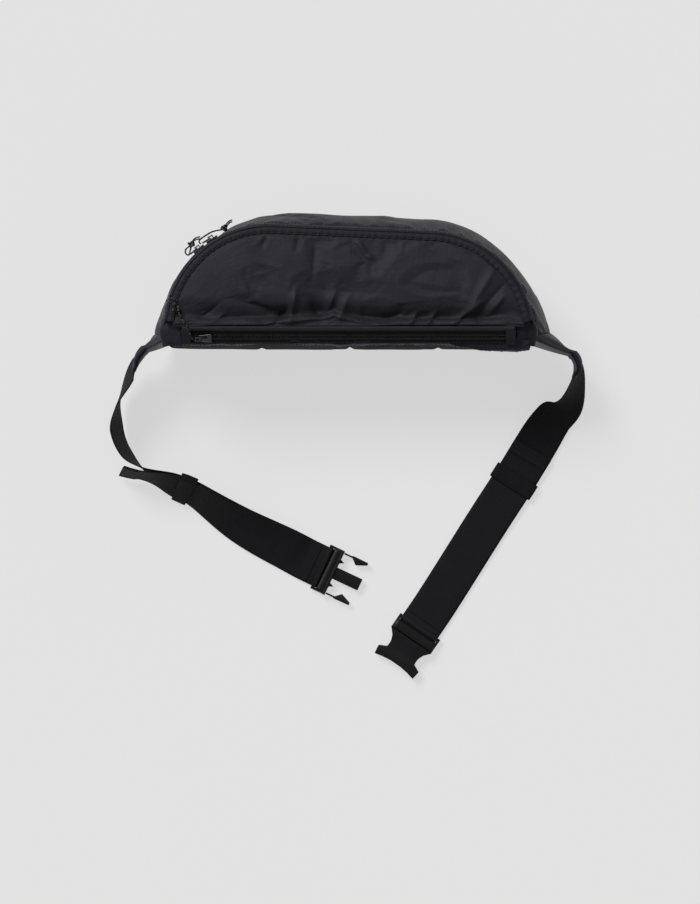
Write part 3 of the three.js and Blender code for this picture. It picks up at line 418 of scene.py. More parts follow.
cord_pieces = []
for seed, which in enumerate(CORD_LINES):
    body = f"{which}_zip_pull"
    line = strand_pair(CORD_LINES[which], STRAND_GAP)
    short = path_length(line) < SHORT_LOOP       # a loop this short is made with its ends, as one cord
    if short:
        line = np.concatenate([TAILS[which][0][::-1], line[::-1], TAILS[which][1]])
    path = smooth_path(on_pull(which, line), 110 if short else 90)
    loop = tube(f"{which}_cord_loop", path, CORD_RADIUS)
    knot = tube(f"{which}_cord_knot", knot_path(on_pull(which, KNOTS[which]), KNOT_SIZE, seed), KNOT_RADIUS,
                closed=True)
    ends = [tube(f"{which}_cord_end_{i + 1}", smooth_path(on_pull(which, line), 22), CORD_RADIUS)
            for i, line in enumerate(() if short else TAILS[which])]
    for piece in (loop, knot, *ends):
        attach(piece, body)
        cord_pieces.append(piece)
    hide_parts(f"{which}_cord")
    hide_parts(f"{which}_knot")
    route = (path + SHIFT) * MM
    hole = on_pull(which, (HOLE, 0, 0))
    path_length(path) * MM
    [tuple(p) for p in route]
    print(which, "cord loop", round(path_length(path), 1), "mm")

# %% [markdown]
# Finishes are node groups that put out a height, a mask or a colour shift, each built once. Cloth reads
# the UV map in metres, so threads run with the cloth; moulded and cast pieces read Object coordinates.

# %% Helpers for node groups
def linear(*rgb):
    """sRGB values from 0 to 255 as linear colour with alpha."""
    c = np.array(rgb) / 255.0
    return (*np.where(c <= 0.04045, c / 12.92, ((c + 0.055) / 1.055) ** 2.4), 1.0)


class Tree:
    """A node tree with short calls for the nodes that the finishes use."""

    def __init__(self, tree):
        self.tree = tree

    def node(self, kind, values=(), **settings):
        made = self.tree.nodes.new(kind)
        for key, value in settings.items():
            setattr(made, key, value)
        for key, value in dict(values).items():
            self.feed(made.inputs[key], value)
        return made

    def feed(self, socket, value):
        if isinstance(value, bpy.types.NodeSocket):
            self.tree.links.new(value, socket)
        else:
            socket.default_value = value

    def math(self, operation, a, b=0.0, c=0.0):
        made = self.node("ShaderNodeMath", {0: a, 1: b}, operation=operation)
        self.feed(made.inputs[2], c)
        return made.outputs[0]

    def weigh(self, a, a_weight, b, b_weight):
        """a and b, each times its weight, added up."""
        return self.math("ADD", self.math("MULTIPLY", a, a_weight), self.math("MULTIPLY", b, b_weight))

    def saw(self, coordinate, spacing):
        """Rises and falls between 0 and a half, once each spacing."""
        return self.math("PINGPONG", self.math("DIVIDE", coordinate, spacing), 0.5)

    def mix(self, share, a, b):
        made = self.node("ShaderNodeMix", data_type="RGBA")
        for i, value in ((0, share), (6, a), (7, b)):
            self.feed(made.inputs[i], value)
        return made.outputs[2]

    def noise(self, where, scale, detail=3.0, rough=0.5, stretch=(1, 1, 1)):
        mapped = self.node("ShaderNodeMapping", {"Vector": where, "Scale": stretch})
        return self.node("ShaderNodeTexNoise", {
            "Vector": mapped.outputs[0], "Scale": scale, "Detail": detail, "Roughness": rough}).outputs["Fac"]


def new_group(name, inputs, outputs):
    """A shader node group with named float or vector sockets; returns its tree, inputs and output node."""
    group = bpy.data.node_groups.new(name, "ShaderNodeTree")
    kinds = {"vector": "NodeSocketVector", "float": "NodeSocketFloat", "color": "NodeSocketColor"}
    for direction, sockets in (("INPUT", inputs), ("OUTPUT", outputs)):
        for label, (kind, value) in sockets.items():
            socket = group.interface.new_socket(label, in_out=direction, socket_type=kinds[kind])
            if direction == "INPUT" and kind != "vector":
                socket.default_value = value
    tree = Tree(group)
    entry, leave = group.nodes.new("NodeGroupInput"), group.nodes.new("NodeGroupOutput")
    return tree, entry.outputs, leave.inputs


# %% [markdown]
# Ripstop is a fine plain weave with thicker threads every few millimetres, which stand a little proud.
# Webbing is ribbed: floats run in rows across it, with a seam line near each edge.

# %% Weave groups
RIPSTOP, s, out = new_group(
    "ripstop", {"Cloth": ("vector", None), "Cell": ("float", 0.004), "Thread": ("float", 0.0006)},
    {"Height": ("float", 0), "Grid": ("float", 0), "Crumple": ("float", 0)})
LINE_WIDTH = 0.09                           # of a ripstop line, as a share of its cell
split = RIPSTOP.node("ShaderNodeSeparateXYZ", {0: s["Cloth"]})


def lines(tree, coordinate, spacing, width):
    """A ridge every spacing: one minus the distance from the nearest line over width, not under zero."""
    share = tree.saw(coordinate, spacing)
    return tree.math("MAXIMUM", tree.math("SUBTRACT", 1.0, tree.math("DIVIDE", share, width)), 0.0)


warp, weft = split.outputs[0], split.outputs[1]
grid = RIPSTOP.math("MAXIMUM", lines(RIPSTOP, warp, s["Cell"], LINE_WIDTH),
                    lines(RIPSTOP, weft, s["Cell"], LINE_WIDTH))
threads = RIPSTOP.math("MULTIPLY", RIPSTOP.saw(warp, s["Thread"]), RIPSTOP.saw(weft, s["Thread"]))
crumple = RIPSTOP.weigh(RIPSTOP.noise(s["Cloth"], 60, 4, 0.55), 0.6,
                        RIPSTOP.noise(s["Cloth"], 210, 3, 0.6), 0.4)
RIPSTOP.feed(out["Grid"], grid)
RIPSTOP.feed(out["Crumple"], crumple)
RIPSTOP.feed(out["Height"], RIPSTOP.math("ADD", RIPSTOP.math("MULTIPLY", grid, 0.35), threads))

WEBBING, s, out = new_group(
    "webbing_weave", {"Cloth": ("vector", None), "Rib": ("float", 0.0016), "Float": ("float", 0.0022)},
    {"Height": ("float", 0), "Shade": ("float", 0)})
split = WEBBING.node("ShaderNodeSeparateXYZ", {0: s["Cloth"]})
ribs = WEBBING.saw(split.outputs[1], s["Rib"])
row = WEBBING.math("MULTIPLY", WEBBING.math("FLOOR", WEBBING.math("DIVIDE", split.outputs[1], s["Rib"])), 0.5)
float_at = WEBBING.math("ADD", WEBBING.math("DIVIDE", split.outputs[0], s["Float"]), row)
floats = WEBBING.math("PINGPONG", float_at, 0.5)
WEBBING.feed(out["Height"], WEBBING.weigh(ribs, 1.2, floats, 0.8))
WEBBING.feed(out["Shade"], WEBBING.weigh(floats, 0.9, WEBBING.noise(s["Cloth"], 90, 3), 0.5))

FLECKS, s, out = new_group("cord_flecks", {"Cloth": ("vector", None), "Pick": ("float", 0.0011)},
                           {"Height": ("float", 0), "Mask": ("float", 0)})
split = FLECKS.node("ShaderNodeSeparateXYZ", {0: s["Cloth"]})
one = FLECKS.math("DIVIDE", FLECKS.math("ADD", split.outputs[0], split.outputs[1]), s["Pick"])
other = FLECKS.math("DIVIDE", FLECKS.math("SUBTRACT", split.outputs[0], split.outputs[1]), s["Pick"])
cells = FLECKS.node("ShaderNodeCombineXYZ", {0: FLECKS.math("FLOOR", one), 1: FLECKS.math("FLOOR", other)})
chance = FLECKS.node("ShaderNodeTexWhiteNoise", {"Vector": cells.outputs[0]}, noise_dimensions="2D")
FLECKS.feed(out["Mask"], FLECKS.math("GREATER_THAN", chance.outputs[0], 0.66))
raised = [FLECKS.math("PINGPONG", way, 0.5) for way in (one, other)]
FLECKS.feed(out["Height"], FLECKS.math("MULTIPLY", *raised))

MOULD, s, out = new_group("mould_grain", {"Place": ("vector", None), "Size": ("float", 900.0)},
                          {"Height": ("float", 0), "Shade": ("float", 0)})
MOULD.feed(out["Height"], MOULD.noise(s["Place"], s["Size"], 2, 0.6))
blotches, specks = MOULD.noise(s["Place"], 70, 3), MOULD.noise(s["Place"], 420, 2)
MOULD.feed(out["Shade"], MOULD.weigh(blotches, 0.7, specks, 0.3))
print("node groups:", len(bpy.data.node_groups))


# %% [markdown]
# Each finish mixes two close colours by its group's mask and bumps by its height. The coated navy cloth is
# the only glossy one, so the lamps draw its folds as soft bright streaks.

# %% Finishes
ROUGH_SPREAD = 0.06


def finish(name, group, values, colours, roughness, bump, distance, shade="Shade", metallic=0.0,
           coordinate="UV", crumple=0.0, **settings):
    """A Principled material: its colours mixed by the group's shade, its roughness varied a little by it,
    and a bump from the group's height."""
    material = bpy.data.materials.new(name)
    material.use_nodes = True
    tree = Tree(material.node_tree)
    shader = material.node_tree.nodes["Principled BSDF"]
    where = tree.node("ShaderNodeTexCoord").outputs[coordinate]
    weave = tree.node("ShaderNodeGroup", node_tree=group.tree)
    tree.feed(weave.inputs[0], where)
    for key, value in values.items():
        weave.inputs[key].default_value = value
    dark, light = (linear(*colour) for colour in colours)
    tree.feed(shader.inputs["Base Color"], tree.mix(weave.outputs[shade], dark, light))
    varied = tree.node("ShaderNodeMapRange", {
        0: weave.outputs[shade], 3: roughness - ROUGH_SPREAD, 4: roughness + ROUGH_SPREAD})
    tree.feed(shader.inputs["Roughness"], varied.outputs[0])
    shader.inputs["Metallic"].default_value = metallic
    height = weave.outputs["Height"]
    if crumple:
        height = tree.math("ADD", height, tree.math("MULTIPLY", weave.outputs["Crumple"], crumple))
    raised = tree.node("ShaderNodeBump", {"Strength": bump, "Distance": distance, "Height": height})
    tree.feed(shader.inputs["Normal"], raised.outputs[0])
    for key, value in settings.items():
        shader.inputs[key.replace("_", " ")].default_value = value
    return material


def cloth(name, low, high, roughness, cell=0.0042, crumple=3.0, bump=0.5, **settings):
    return finish(name, RIPSTOP, {"Cell": cell}, (low, high), roughness, bump, 0.0004, shade="Crumple",
                  crumple=crumple, **{"Specular_IOR_Level": 0.16, **settings})


def solid(name, size, low, high, roughness, bump, **settings):
    return finish(name, MOULD, {"Size": size}, (low, high), roughness, bump, 0.0002,
                  coordinate="Object", **settings)


def woven(name, low, high, rib=0.0016, run=0.0022):
    return finish(name, WEBBING, {"Rib": rib, "Float": run}, (low, high), 0.72, 0.7, 0.0004,
                  Specular_IOR_Level=0.12)


top_cloth = cloth("top cloth", (24, 23, 27), (41, 40, 46), 0.62, crumple=3.5)
welt_cloth = cloth("welt cloth", (22, 21, 26), (37, 36, 43), 0.66, cell=0.0011, crumple=2.5)
navy_cloth = cloth("navy coated cloth", (24, 23, 30), (43, 41, 51), 0.42, crumple=2.6,
                   Specular_IOR_Level=0.08)
back_cloth = cloth("back mesh", (26, 26, 29), (40, 40, 44), 0.85, cell=0.0016, crumple=1.0, bump=0.8)
lining = cloth("lining", (44, 44, 48), (58, 58, 62), 0.7, crumple=1.5, coordinate="Object")
tape_cloth = solid("zip tape", 1800.0, (13, 13, 15), (24, 24, 27), 0.8, 0.5, Specular_IOR_Level=0.12)
coil_nylon = solid("zip coil", 700.0, (18, 18, 21), (30, 30, 34), 0.42, 0.2, Specular_IOR_Level=0.4)
webbing = woven("webbing", (9, 9, 11), (25, 25, 28))
elastic = woven("elastic", (8, 8, 10), (22, 22, 25), 0.0011, 0.003)
cord_finish = finish("flecked cord", FLECKS, {}, ((10, 10, 12), (84, 84, 88)), 0.7, 0.6, 0.0003, shade="Mask",
                     Specular_IOR_Level=0.15)
metal = solid("gunmetal", 500.0, (66, 67, 71), (104, 105, 109), 0.3, 0.12, metallic=1.0)
plastic = solid("buckle plastic", 2200.0, (6, 6, 8), (16, 16, 19), 0.4, 0.25, Specular_IOR_Level=0.22)
thread = finish("thread", WEBBING, {"Rib": 0.0008, "Float": 0.0008}, ((26, 26, 29), (44, 44, 49)), 0.7, 0.4,
                0.0002)


def paint(piece, material):
    piece.data.materials.clear()
    piece.data.materials.append(material)
    return piece


for piece in cord_pieces:
    paint(piece, cord_finish)

# %% [markdown]
# The bag's cloth is light and a little too long for its seams, so it crumples between them. The shape of
# each panel comes from a formula with its large folds given one by one, and Blender's Cloth then eases the
# panel with some spare length, held along its seams, to find the small folds.

# %% Folds and cloth
FRAMES = 22


def folds(x, y, creases):
    """Height added by creases, each (x0, y0, x1, y1, width, height): a bell of the distance from its
    segment, a little sharper than a bell, which fades towards both ends."""
    total = np.zeros(np.broadcast(x, y).shape)
    for x0, y0, x1, y1, width, height in creases:
        dx, dy = x1 - x0, y1 - y0
        share = np.clip(((x - x0) * dx + (y - y0) * dy) / (dx * dx + dy * dy), 0, 1)
        away = np.hypot(x - x0 - share * dx, y - y0 - share * dy)
        total += height * np.exp(-(away / width) ** 1.4) * (0.35 + 0.65 * np.sin(np.pi * share))
    return total


def ripples(u, v, seed, count=26, size=(3.0, 9.0)):
    """Seeded soft folds: a sum of count sine waves of random heading, each weaker as it is shorter."""
    draw = np.random.default_rng(seed)
    total = np.zeros(np.broadcast(u, v).shape)
    for _ in range(count):
        heading, phase = draw.uniform(0, 2 * np.pi, 2)
        length = draw.uniform(*size)
        total += length * np.sin((u * np.cos(heading) + v * np.sin(heading)) * 2 * np.pi / length + phase)
    return total / (count * np.mean(size))


def eased(points, held, slack, cap=1.2, bending=0.5):
    """The grid after Cloth has eased it: its held points stay, the rest length grows by slack, and no point
    moves further than cap. Points and cap are in mm."""
    rows, columns = points.shape[:2]
    mesh = mesh_from("trial_cloth", points.reshape(-1, 3), grid_faces(rows, columns))
    trial = add_object("trial_cloth", mesh)
    pins = trial.vertex_groups.new(name="seams")
    pins.add([int(i) for i in np.flatnonzero(held.ravel())], 1.0, "REPLACE")
    cloth_maker = trial.modifiers.new("cloth", "CLOTH")
    settings = cloth_maker.settings
    settings.quality = 6
    settings.mass = 0.12
    settings.tension_stiffness = settings.compression_stiffness = 20
    settings.shear_stiffness = 6
    settings.bending_stiffness = bending
    settings.vertex_group_mass = "seams"
    settings.shrink_min = -slack
    settings.effector_weights.gravity = 0.0
    cloth_maker.point_cache.frame_end = FRAMES
    for number in range(1, FRAMES + 1):
        bpy.context.scene.frame_set(number)
    found = trial.evaluated_get(bpy.context.evaluated_depsgraph_get())
    moved = np.empty(rows * columns * 3, np.float32)
    found.data.vertices.foreach_get("co", moved)
    bpy.context.scene.frame_set(1)
    bpy.data.objects.remove(trial)
    step = moved.reshape(points.shape) / MM - SHIFT - points
    size = np.linalg.norm(step, axis=-1, keepdims=True)
    print("  cloth moved up to", round(float(size.max()), 1), "mm")
    return points + step * np.minimum(1.0, cap / np.maximum(size, 1e-6))


def edges(rows, columns, deep=1):
    """True on the outer rows and columns of a grid."""
    held = np.zeros((rows, columns), bool)
    held[:deep] = held[-deep:] = held[:, :deep] = held[:, -deep:] = True
    return held


def unit_grid(rows, columns):
    return np.meshgrid(np.linspace(0, 1, rows), np.linspace(0, 1, columns), indexing="ij")


def place(piece, body, slot, material, *replaced):
    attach(piece, body)
    if replaced:
        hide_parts(*replaced)
    return paint(piece, material)


# %% [markdown]
# The top panel is charcoal ripstop. It dips in a valley along its rear hem, where deep folds run in from it,
# and short creases cross its front edge. Their places are given in plan, in mm.

# %% Top panel
LID_EDGE = 123.0
LID_THICK = 1.0
VALLEY_AT = 5.5                             # how far in front of the hem's line the valley is deepest
FOLD_DEPTH = 2.1
VALLEY_X = (-150, -112, -86, -60, -42, -22, -8, 12, 42, 78, 118, 150)
VALLEY_DEPTH = (1.5, 5.0, 6.0, 9.0, 5.0, 9.0, 3.0, 8.0, 6.0, 8.0, 6.0, 2.0)
HINGE_Y = 109.0
LID_CREASES = [
    (-52, 113, -47, 138, 3.2, 2.6), (-66, 110, -54, 124, 2.4, -2.2), (-20, 119, -13, 138, 3.0, 2.6),
    (-9, 115, -2, 133, 3.6, 2.0), (-24, 117, -34, 134, 3.5, -1.9), (51, 109, 57, 119, 2.2, 2.4),
    (66, 109, 73, 120, 2.0, 2.2), (88, 110, 113, 129, 3.0, 2.2), (93, 108, 101, 118, 2.4, -1.6),
    (104, 124, 124, 157, 3.6, 1.4), (110, 118, 134, 146, 3.2, -1.2), (120, 120, 132, 134, 2.6, 1.2),
    (-76, 177, -72, 186, 1.8, -1.4), (-46, 174, -45, 186, 1.8, -1.5), (-32, 150, -30, 178, 4.0, -1.0),
    (6, 184, 14, 170, 2.4, 1.6), (14, 170, 20, 166, 2.2, 1.4), (-96, 130, -66, 121, 5.0, -1.4),
    (-128, 117, -112, 128, 3.2, -1.8), (-120, 112, -108, 119, 2.4, 1.2), (20, 112, 44, 118, 3.0, -1.6),
    (-40, 142, 30, 136, 9.0, -1.2), (40, 150, 96, 140, 9.0, 1.2), (-88, 150, -60, 158, 8.0, 1.0),
]
HEM_X = (-150, -100, -75, -58, -30, -19, -14, -9, 9, 28, 75, 140, 152)
HEM_Y = (110.6, 110.4, 111.0, 113.0, 114.8, 115.6, 118.4, 115.6, 112.0, 110.6, 110.4, 110.4, 110.6)


def lid_plan(rows, columns):
    """The top panel: u runs along the welt and v from the rear hem to the front. Each point is eased from
    the hem's line to the welt's inner edge, and rises as a low dome: sin(pi v) times the root of
    sin(pi u)."""
    u, v = unit_grid(rows, columns)
    front = beside_zip(5.0 + u * (ZIP_LENGTH - 10.0), -7.4, 0.0)
    end_x = float(zip_plan(ZIP_LENGTH)[0]) - 7.4
    rear_x = ZIP_START[0] + 7.4 + u * (end_x - ZIP_START[0] - 7.4)
    ease = v * v * (3 - 2 * v)
    x = rear_x + (front[..., 0] - rear_x) * (0.4 * v + 0.6 * ease)
    y = HINGE_Y + 0.2 + (np.maximum(front[..., 1], HINGE_Y + 2) - HINGE_Y - 0.2) * v
    dome = 3.2 * np.sin(np.pi * v) * np.sqrt(np.maximum(np.sin(np.pi * u), 0))
    return u, v, np.stack([x, y, LID_EDGE + dome], -1)


u, v, lid = lid_plan(220, 84)
rim = np.minimum(1.0, np.minimum(v / 0.05, (1 - v) / 0.06))
hem_line = np.interp(lid[..., 0], HEM_X, HEM_Y)
beyond = lid[..., 1] - hem_line
ridge = 1.5 * np.exp(-(beyond / 0.9) ** 2) - 1.0 / (1 + np.exp(beyond / 0.9))
fold_height = FOLD_DEPTH * folds(lid[..., 0], lid[..., 1], LID_CREASES)
fold_height = fold_height + 1.5 * ripples(lid[..., 0], lid[..., 1], 4, size=(14, 44))
valley_width = np.where(beyond < VALLEY_AT, 2.6, 7.5)
valley = np.interp(lid[..., 0], VALLEY_X, VALLEY_DEPTH) * np.exp(-((beyond - VALLEY_AT) / valley_width) ** 2)
lid[..., 2] += (np.clip(fold_height, -6.0, 6.0) - valley) * rim + ridge * np.minimum(1, v / 0.012)
lid = oriented(eased(lid, edges(*lid.shape[:2], deep=2), slack=0.012), UP)
top = place(shell("top_panel_cloth", lid, LID_THICK), "lid", "top_cloth", top_cloth, "top_panel")
print("top panel", [round(x * 1000) for x in top.dimensions])

# %% [markdown]
# The welt is a folded strip of cloth, filled by its seam allowance, that rolls from the zip over onto the
# top panel. Its outer half is the navy cloth and its inner half the dark one. Both seams are drawn tight,
# so the strips pucker in short waves along them.

# %% Welt
WELT_FOOT = 119.4


def welt_section(count):
    """Half a rounded strip, from the foot of the outer wall over to the inner seam, as (out, height)."""
    angle = np.linspace(0, 1, count) * np.pi / 2
    return 1.6 - 8.4 * (1 - np.cos(angle)) ** 0.9, 4.6 * np.sin(angle) ** 0.8


ROWS = 420
u, v = unit_grid(ROWS, 15)
out, high = welt_section(15)
length = 5.0 + u * (ZIP_LENGTH - 10.0)
pucker = 0.34 * np.sin(2 * np.pi * length / 6.2 + 1.6 * np.sin(length / 17)) * v ** 2
pucker += 0.5 * ripples(length, 30 * v, 11, size=(10, 34))
seam = -0.9 * np.exp(-((v - 0.93) / 0.05) ** 2) - 0.9 * np.exp(-((v - 0.5) / 0.06) ** 2)
swell = pucker + seam
welt = beside_zip(length, out[None, :] + swell * (1 - v), WELT_FOOT + high[None, :] + swell * v)
SPLIT = 7
rim_grid, welt_grid = welt[:, :SPLIT + 1], welt[:, SPLIT:]
place(shell("top_rim_cloth", rim_grid[:, ::-1], 1.0), "lid", "navy_cloth", navy_cloth)
place(shell("top_welt_cloth", welt_grid[:, ::-1], 1.0), "lid", "welt_cloth", welt_cloth, "top_welt")
print("welt done")

# %% [markdown]
# The front panel is a long strip of coated navy cloth that stands round the front and both shoulders. It
# bulges between the zip and the base, most at the right shoulder, and tucks in at its foot.

# %% Front panel
BULGES = np.array([11, 8, 5, 6, 11, 14, 15, 15, 16, 17, 17, 14, 13, 15, 18], float)
FRONT_TOP = 104.6
TUCK = 4.0
OVERRUN = 7.0
FRONT_THICK = 1.4


def bulge_at(u):
    """A uniform Catmull-Rom cubic through the bulges, which stand evenly along the panel."""
    p = np.concatenate([BULGES[:1], BULGES, BULGES[-1:]])
    where = np.clip(np.asarray(u) * (len(BULGES) - 1), 0, len(BULGES) - 1.0001)
    i = where.astype(int)
    t = where - i
    a, b, c, d = p[i], p[i + 1], p[i + 2], p[i + 3]
    square, cube = 2 * a - 5 * b + 4 * c - d, 3 * b - a - 3 * c + d
    return 0.5 * (2 * b + (c - a) * t + square * t ** 2 + cube * t ** 3)


def front_panel(rows, columns):
    """u runs along the zip and v up the panel. It stands outside the zip by its bulge times sin(pi v) to
    the power 0.8, less a tuck that fades from the base; seeded folds fan down from the top seam."""
    u, v = unit_grid(rows, columns)
    length = -OVERRUN + u * (ZIP_LENGTH + 2 * OVERRUN)
    out = bulge_at(u) * np.maximum(np.sin(np.pi * v), 0) ** 0.8 - TUCK * (1 - v) ** 2 + 0.5
    loose = np.sin(np.pi * v) ** 0.6
    out = out + loose * 2.6 * ripples(length, 90 * v, 21, size=(22, 70))
    gathers = np.sin(2 * np.pi * length / 17 + 2.4 * np.sin(length / 41)) * np.exp(-((1 - v) / 0.16) ** 2)
    out = out + 0.9 * gathers * np.minimum(1, (1 - v) / 0.03)
    return beside_zip(length, out, 0.2 + (FRONT_TOP - 0.2) * v)


front = eased(front_panel(230, 60), edges(230, 60), slack=0.012)[::-1]
place(shell("front_panel_cloth", front, FRONT_THICK), "pack", "navy_cloth", navy_cloth, "front_panel")
print("front panel done")

# %% [markdown]
# The back is air mesh over foam, bound along its top by the navy cloth that carries the rear zip. Behind the
# middle of the lid that cloth has slipped up in sharp folds, which show as paler facets.

# %% Back panel and its binding
FORWARD = np.array([0.0, 1.0, 0.0])
BACK_Y = 91.0
BACK_TOP = 110.9
BACK_TUCK = 5.0
EDGE_X = (-162, -152, -120, -96, -70, -35, 0, 22, 44, 78, 105, 127, 145, 160)
EDGE_Y = (93.5, 90.6, 90.8, 91.2, 93.6, 91.0, 89.8, 91.0, 92.0, 91.6, 88.6, 86.4, 85.8, 88.0)


def back_cloth_grid(rows, columns):
    """x runs across the back and v up it. The pad's face swells by a root of sines between its four edges,
    its foot tucks in, and its upper third leans out to the line of the binding."""
    u, v = unit_grid(rows, columns)
    x = BACK_LEFT + (BACK_RIGHT - BACK_LEFT) * u
    crown = 1.6 * np.sqrt(np.maximum(np.sin(np.pi * u), 0) * np.maximum(np.sin(np.pi * v), 0)) * (1 - v ** 4)
    lean = (np.interp(x, EDGE_X, EDGE_Y) + 3.4 - BACK_Y) * np.clip((v - 0.45) / 0.45, 0, 1)
    channel = sum(1.6 * np.exp(-((x - at) / 2.2) ** 2) for at in (-78.0, 0.0, 78.0))
    channel = channel * np.minimum(1, np.minimum(v, 1 - v) / 0.08)
    channel = channel - 0.5 * ripples(x, 110 * v, 31, size=(25, 60))
    tuck = BACK_TUCK * (1 - v) ** 1.5
    return np.stack([x, BACK_Y - crown + lean + channel + tuck, 0.2 + (BACK_TOP - 8.2) * v], -1)


back = oriented(eased(back_cloth_grid(150, 60), edges(150, 60), slack=0.01, cap=1.0, bending=0.4), -FORWARD)
pad = place(shell("back_pad", back, 5.5), "pack", "mesh_cloth", back_cloth, "back_panel", "back_foam")


FACETS = [
    (-64, 95, -33, 104, 3.2, 3.0), (-33, 104, -24, 93, 3.0, 2.4), (-10, 112, 9, 96, 3.0, 3.0),
    (9, 96, 12, 91, 2.6, 1.6), (10, 94, 20, 101, 2.8, 2.8), (20, 101, 36, 93, 2.6, 2.0),
    (-120, 95, -80, 93, 3.0, 1.0), (70, 93, 110, 90, 3.0, 1.2), (112, 90, 150, 90, 3.4, 1.4),
]
ZIP_TUCK = 6.6


def binding_grid(rows, columns):
    """A band of cloth from the top of the pad up over the edge to the foot of the rear zip: v turns it
    through a quarter circle in (y, z), and the facets stand up from it."""
    u, v = unit_grid(rows, columns)
    x = BACK_LEFT + 0.6 + (BACK_RIGHT - BACK_LEFT - 1.2) * u
    edge = np.interp(x, EDGE_X, EDGE_Y) + 1.2
    foot = REAR_ZIP - SLOPE_OUT * 0.4 - np.array([0, np.cos(REAR_SLOPE), np.sin(REAR_SLOPE)]) * ZIP_TUCK
    angle = v * np.pi / 2
    y = edge + (foot[1] - edge) * (1 - np.cos(angle)) + 1.8 * v ** 3
    z = BACK_TOP - 10.4 + (foot[2] + 0.3 - BACK_TOP + 10.4) * np.sin(angle)
    rise = np.minimum(folds(x, y + 3 * v, FACETS), 3.4) * np.minimum(1, v / 0.2)
    rise = rise + 0.7 * ripples(x, 30 * v, 41, size=(12, 34)) * np.sin(np.pi * v)
    return np.stack([x, y - 0.3 * rise * (1 - v), z + rise * (0.25 + 0.75 * v)], -1)


binding = oriented(eased(binding_grid(240, 22), edges(240, 22), slack=0.012, cap=1.0, bending=0.4), UP)
place(shell("back_binding", binding, 0.8), "pack", "navy_cloth", navy_cloth)
print("back done")


# %% [markdown]
# The hem behind the lid is narrow ripstop sewn to the rear zip. The corner patches are navy cloth gathered
# where both zips, the binding and the wing meet, with two crossing seams.

# %% Rear hem, corner patches and tabs
def strip(name, start, finish, rows, columns, rise, seed, thick, material, slot, *replaced, wave=0.5):
    """A cloth strip: straight lines from start(u) to finish(u), lifted by rise times sin(pi v) and by
    seeded ripples."""
    u, v = unit_grid(rows, columns)
    a, b = start(u[:, :1]), finish(u[:, :1])
    points = a + (b - a) * v[..., None]
    ripple = wave * ripples(points[..., 0], points[..., 1], seed, size=(7, 26))
    lift = rise * np.sin(np.pi * v) + ripple * np.sin(np.pi * v) ** 0.5
    points = oriented(points, UP)
    points = points + grid_normals(points) * lift[..., None]
    return place(shell(name, points, thick), "pack", slot, material, *replaced)


def on_rear(x, up, out):
    """A point on the slope of the rear zip."""
    x = np.broadcast_arrays(x, 0.0)[0]
    return np.stack([x, REAR_ZIP[1] + up * np.cos(REAR_SLOPE) - out * np.sin(REAR_SLOPE) + 0 * x,
                     REAR_ZIP[2] + up * np.sin(REAR_SLOPE) + out * np.cos(REAR_SLOPE) + 0 * x], -1)


def across(left, right):
    return lambda u: left + (right - left) * u


def points_of(x, y, z):
    return np.stack(np.broadcast_arrays(x, y, z), -1)


hem_x = across(REAR_LEFT - 8.0, REAR_RIGHT + 8.0)
strip("rear_hem_cloth", lambda u: on_rear(hem_x(u), 6.4, 1.3),
      lambda u: points_of(hem_x(u), HINGE_Y - 0.5, LID_EDGE - 0.4),
      200, 10, 0.9, 51, 0.8, top_cloth, "top_cloth", "rear_hem")
for side, sign, back_end, rear_end in (("left", -1, BACK_LEFT, REAR_LEFT),
                                       ("right", 1, BACK_RIGHT, REAR_RIGHT)):
    x_at = across(back_end + 3.6 * sign, rear_end + 8.4 * sign)
    strip(f"{side}_corner_cloth", lambda u: points_of(x_at(u), 91.6 + 0.8 * u, 103.0 + 9.0 * u ** 0.6),
          lambda u: points_of(x_at(u), 113.0, 107.0 + 12.0 * u ** 0.7),
          40, 40, 2.4, 61, 0.9, navy_cloth, "navy_cloth", f"{side}_corner_patch", wave=3.0)
    end = rear_end + 4.3 * sign
    tab_x = across(end - 4.2, end + 4.2)
    strip(f"{side}_zip_tab", lambda u: on_rear(tab_x(u), -7.2, 1.9), lambda u: on_rear(tab_x(u), 7.2, 1.9),
          14, 22, 0.7, 71, 2.2, welt_cloth, "welt_cloth", f"rear_zip_{side}_tab")
print("corners done")

# %% Places of the wings
WEB_HEIGHT = 46.0
LEFT_TIP = np.array([ZIP_START[0] - 19.0, ZIP_START[1] - 18.0])
END = np.array([float(a) for a in zip_plan(ZIP_LENGTH)[:2]])
RIGHT_TIP = END + (37.0, -22.0)
WING_ROOT_Y = float(beside_zip(-OVERRUN, 0.0, 0.0)[1]) - 5.6


# %% [markdown]
# Each zip has two rows of nylon coil, one sewn to the edge of each tape. A coil is a helix, so it is a thin
# tube carried along one, and the tape is a flat woven strip behind it.

# %% Zip tapes and coils
TAPE_EDGE, TAPE_WIDTH, TAPE_HALF = 0.9, 6.2, 0.4
COIL_PITCH = 1.5
COIL_WIRE = 0.3


def zip_half(name, place_at, start, finish, out, body, node):
    """A tape and its coil: place_at(length, across, out) is a point; the helix is across = 1.4 + 0.95 cos t
    and out = 0.98 + 0.58 sin t, with one turn each COIL_PITCH along the zip."""
    u, v = unit_grid(180, 6)
    grid = place_at(start + (finish - start) * u, TAPE_EDGE + 0.2 + (TAPE_WIDTH - 0.2) * v, TAPE_HALF)
    place(shell(f"{name}_tape", oriented(grid, out(u)), 2 * TAPE_HALF), body, "zip_tape", tape_cloth, node)
    turns = (finish - start) / COIL_PITCH
    s = np.linspace(0, 1, int(turns * 9))
    t = 2 * np.pi * turns * s
    path = place_at(start + (finish - start) * s, 1.4 + 0.95 * np.cos(t), 0.98 + 0.58 * np.sin(t))
    place(tube(f"{name}_coil", path, COIL_WIRE, sides=5), body, "zip_tape", coil_nylon)


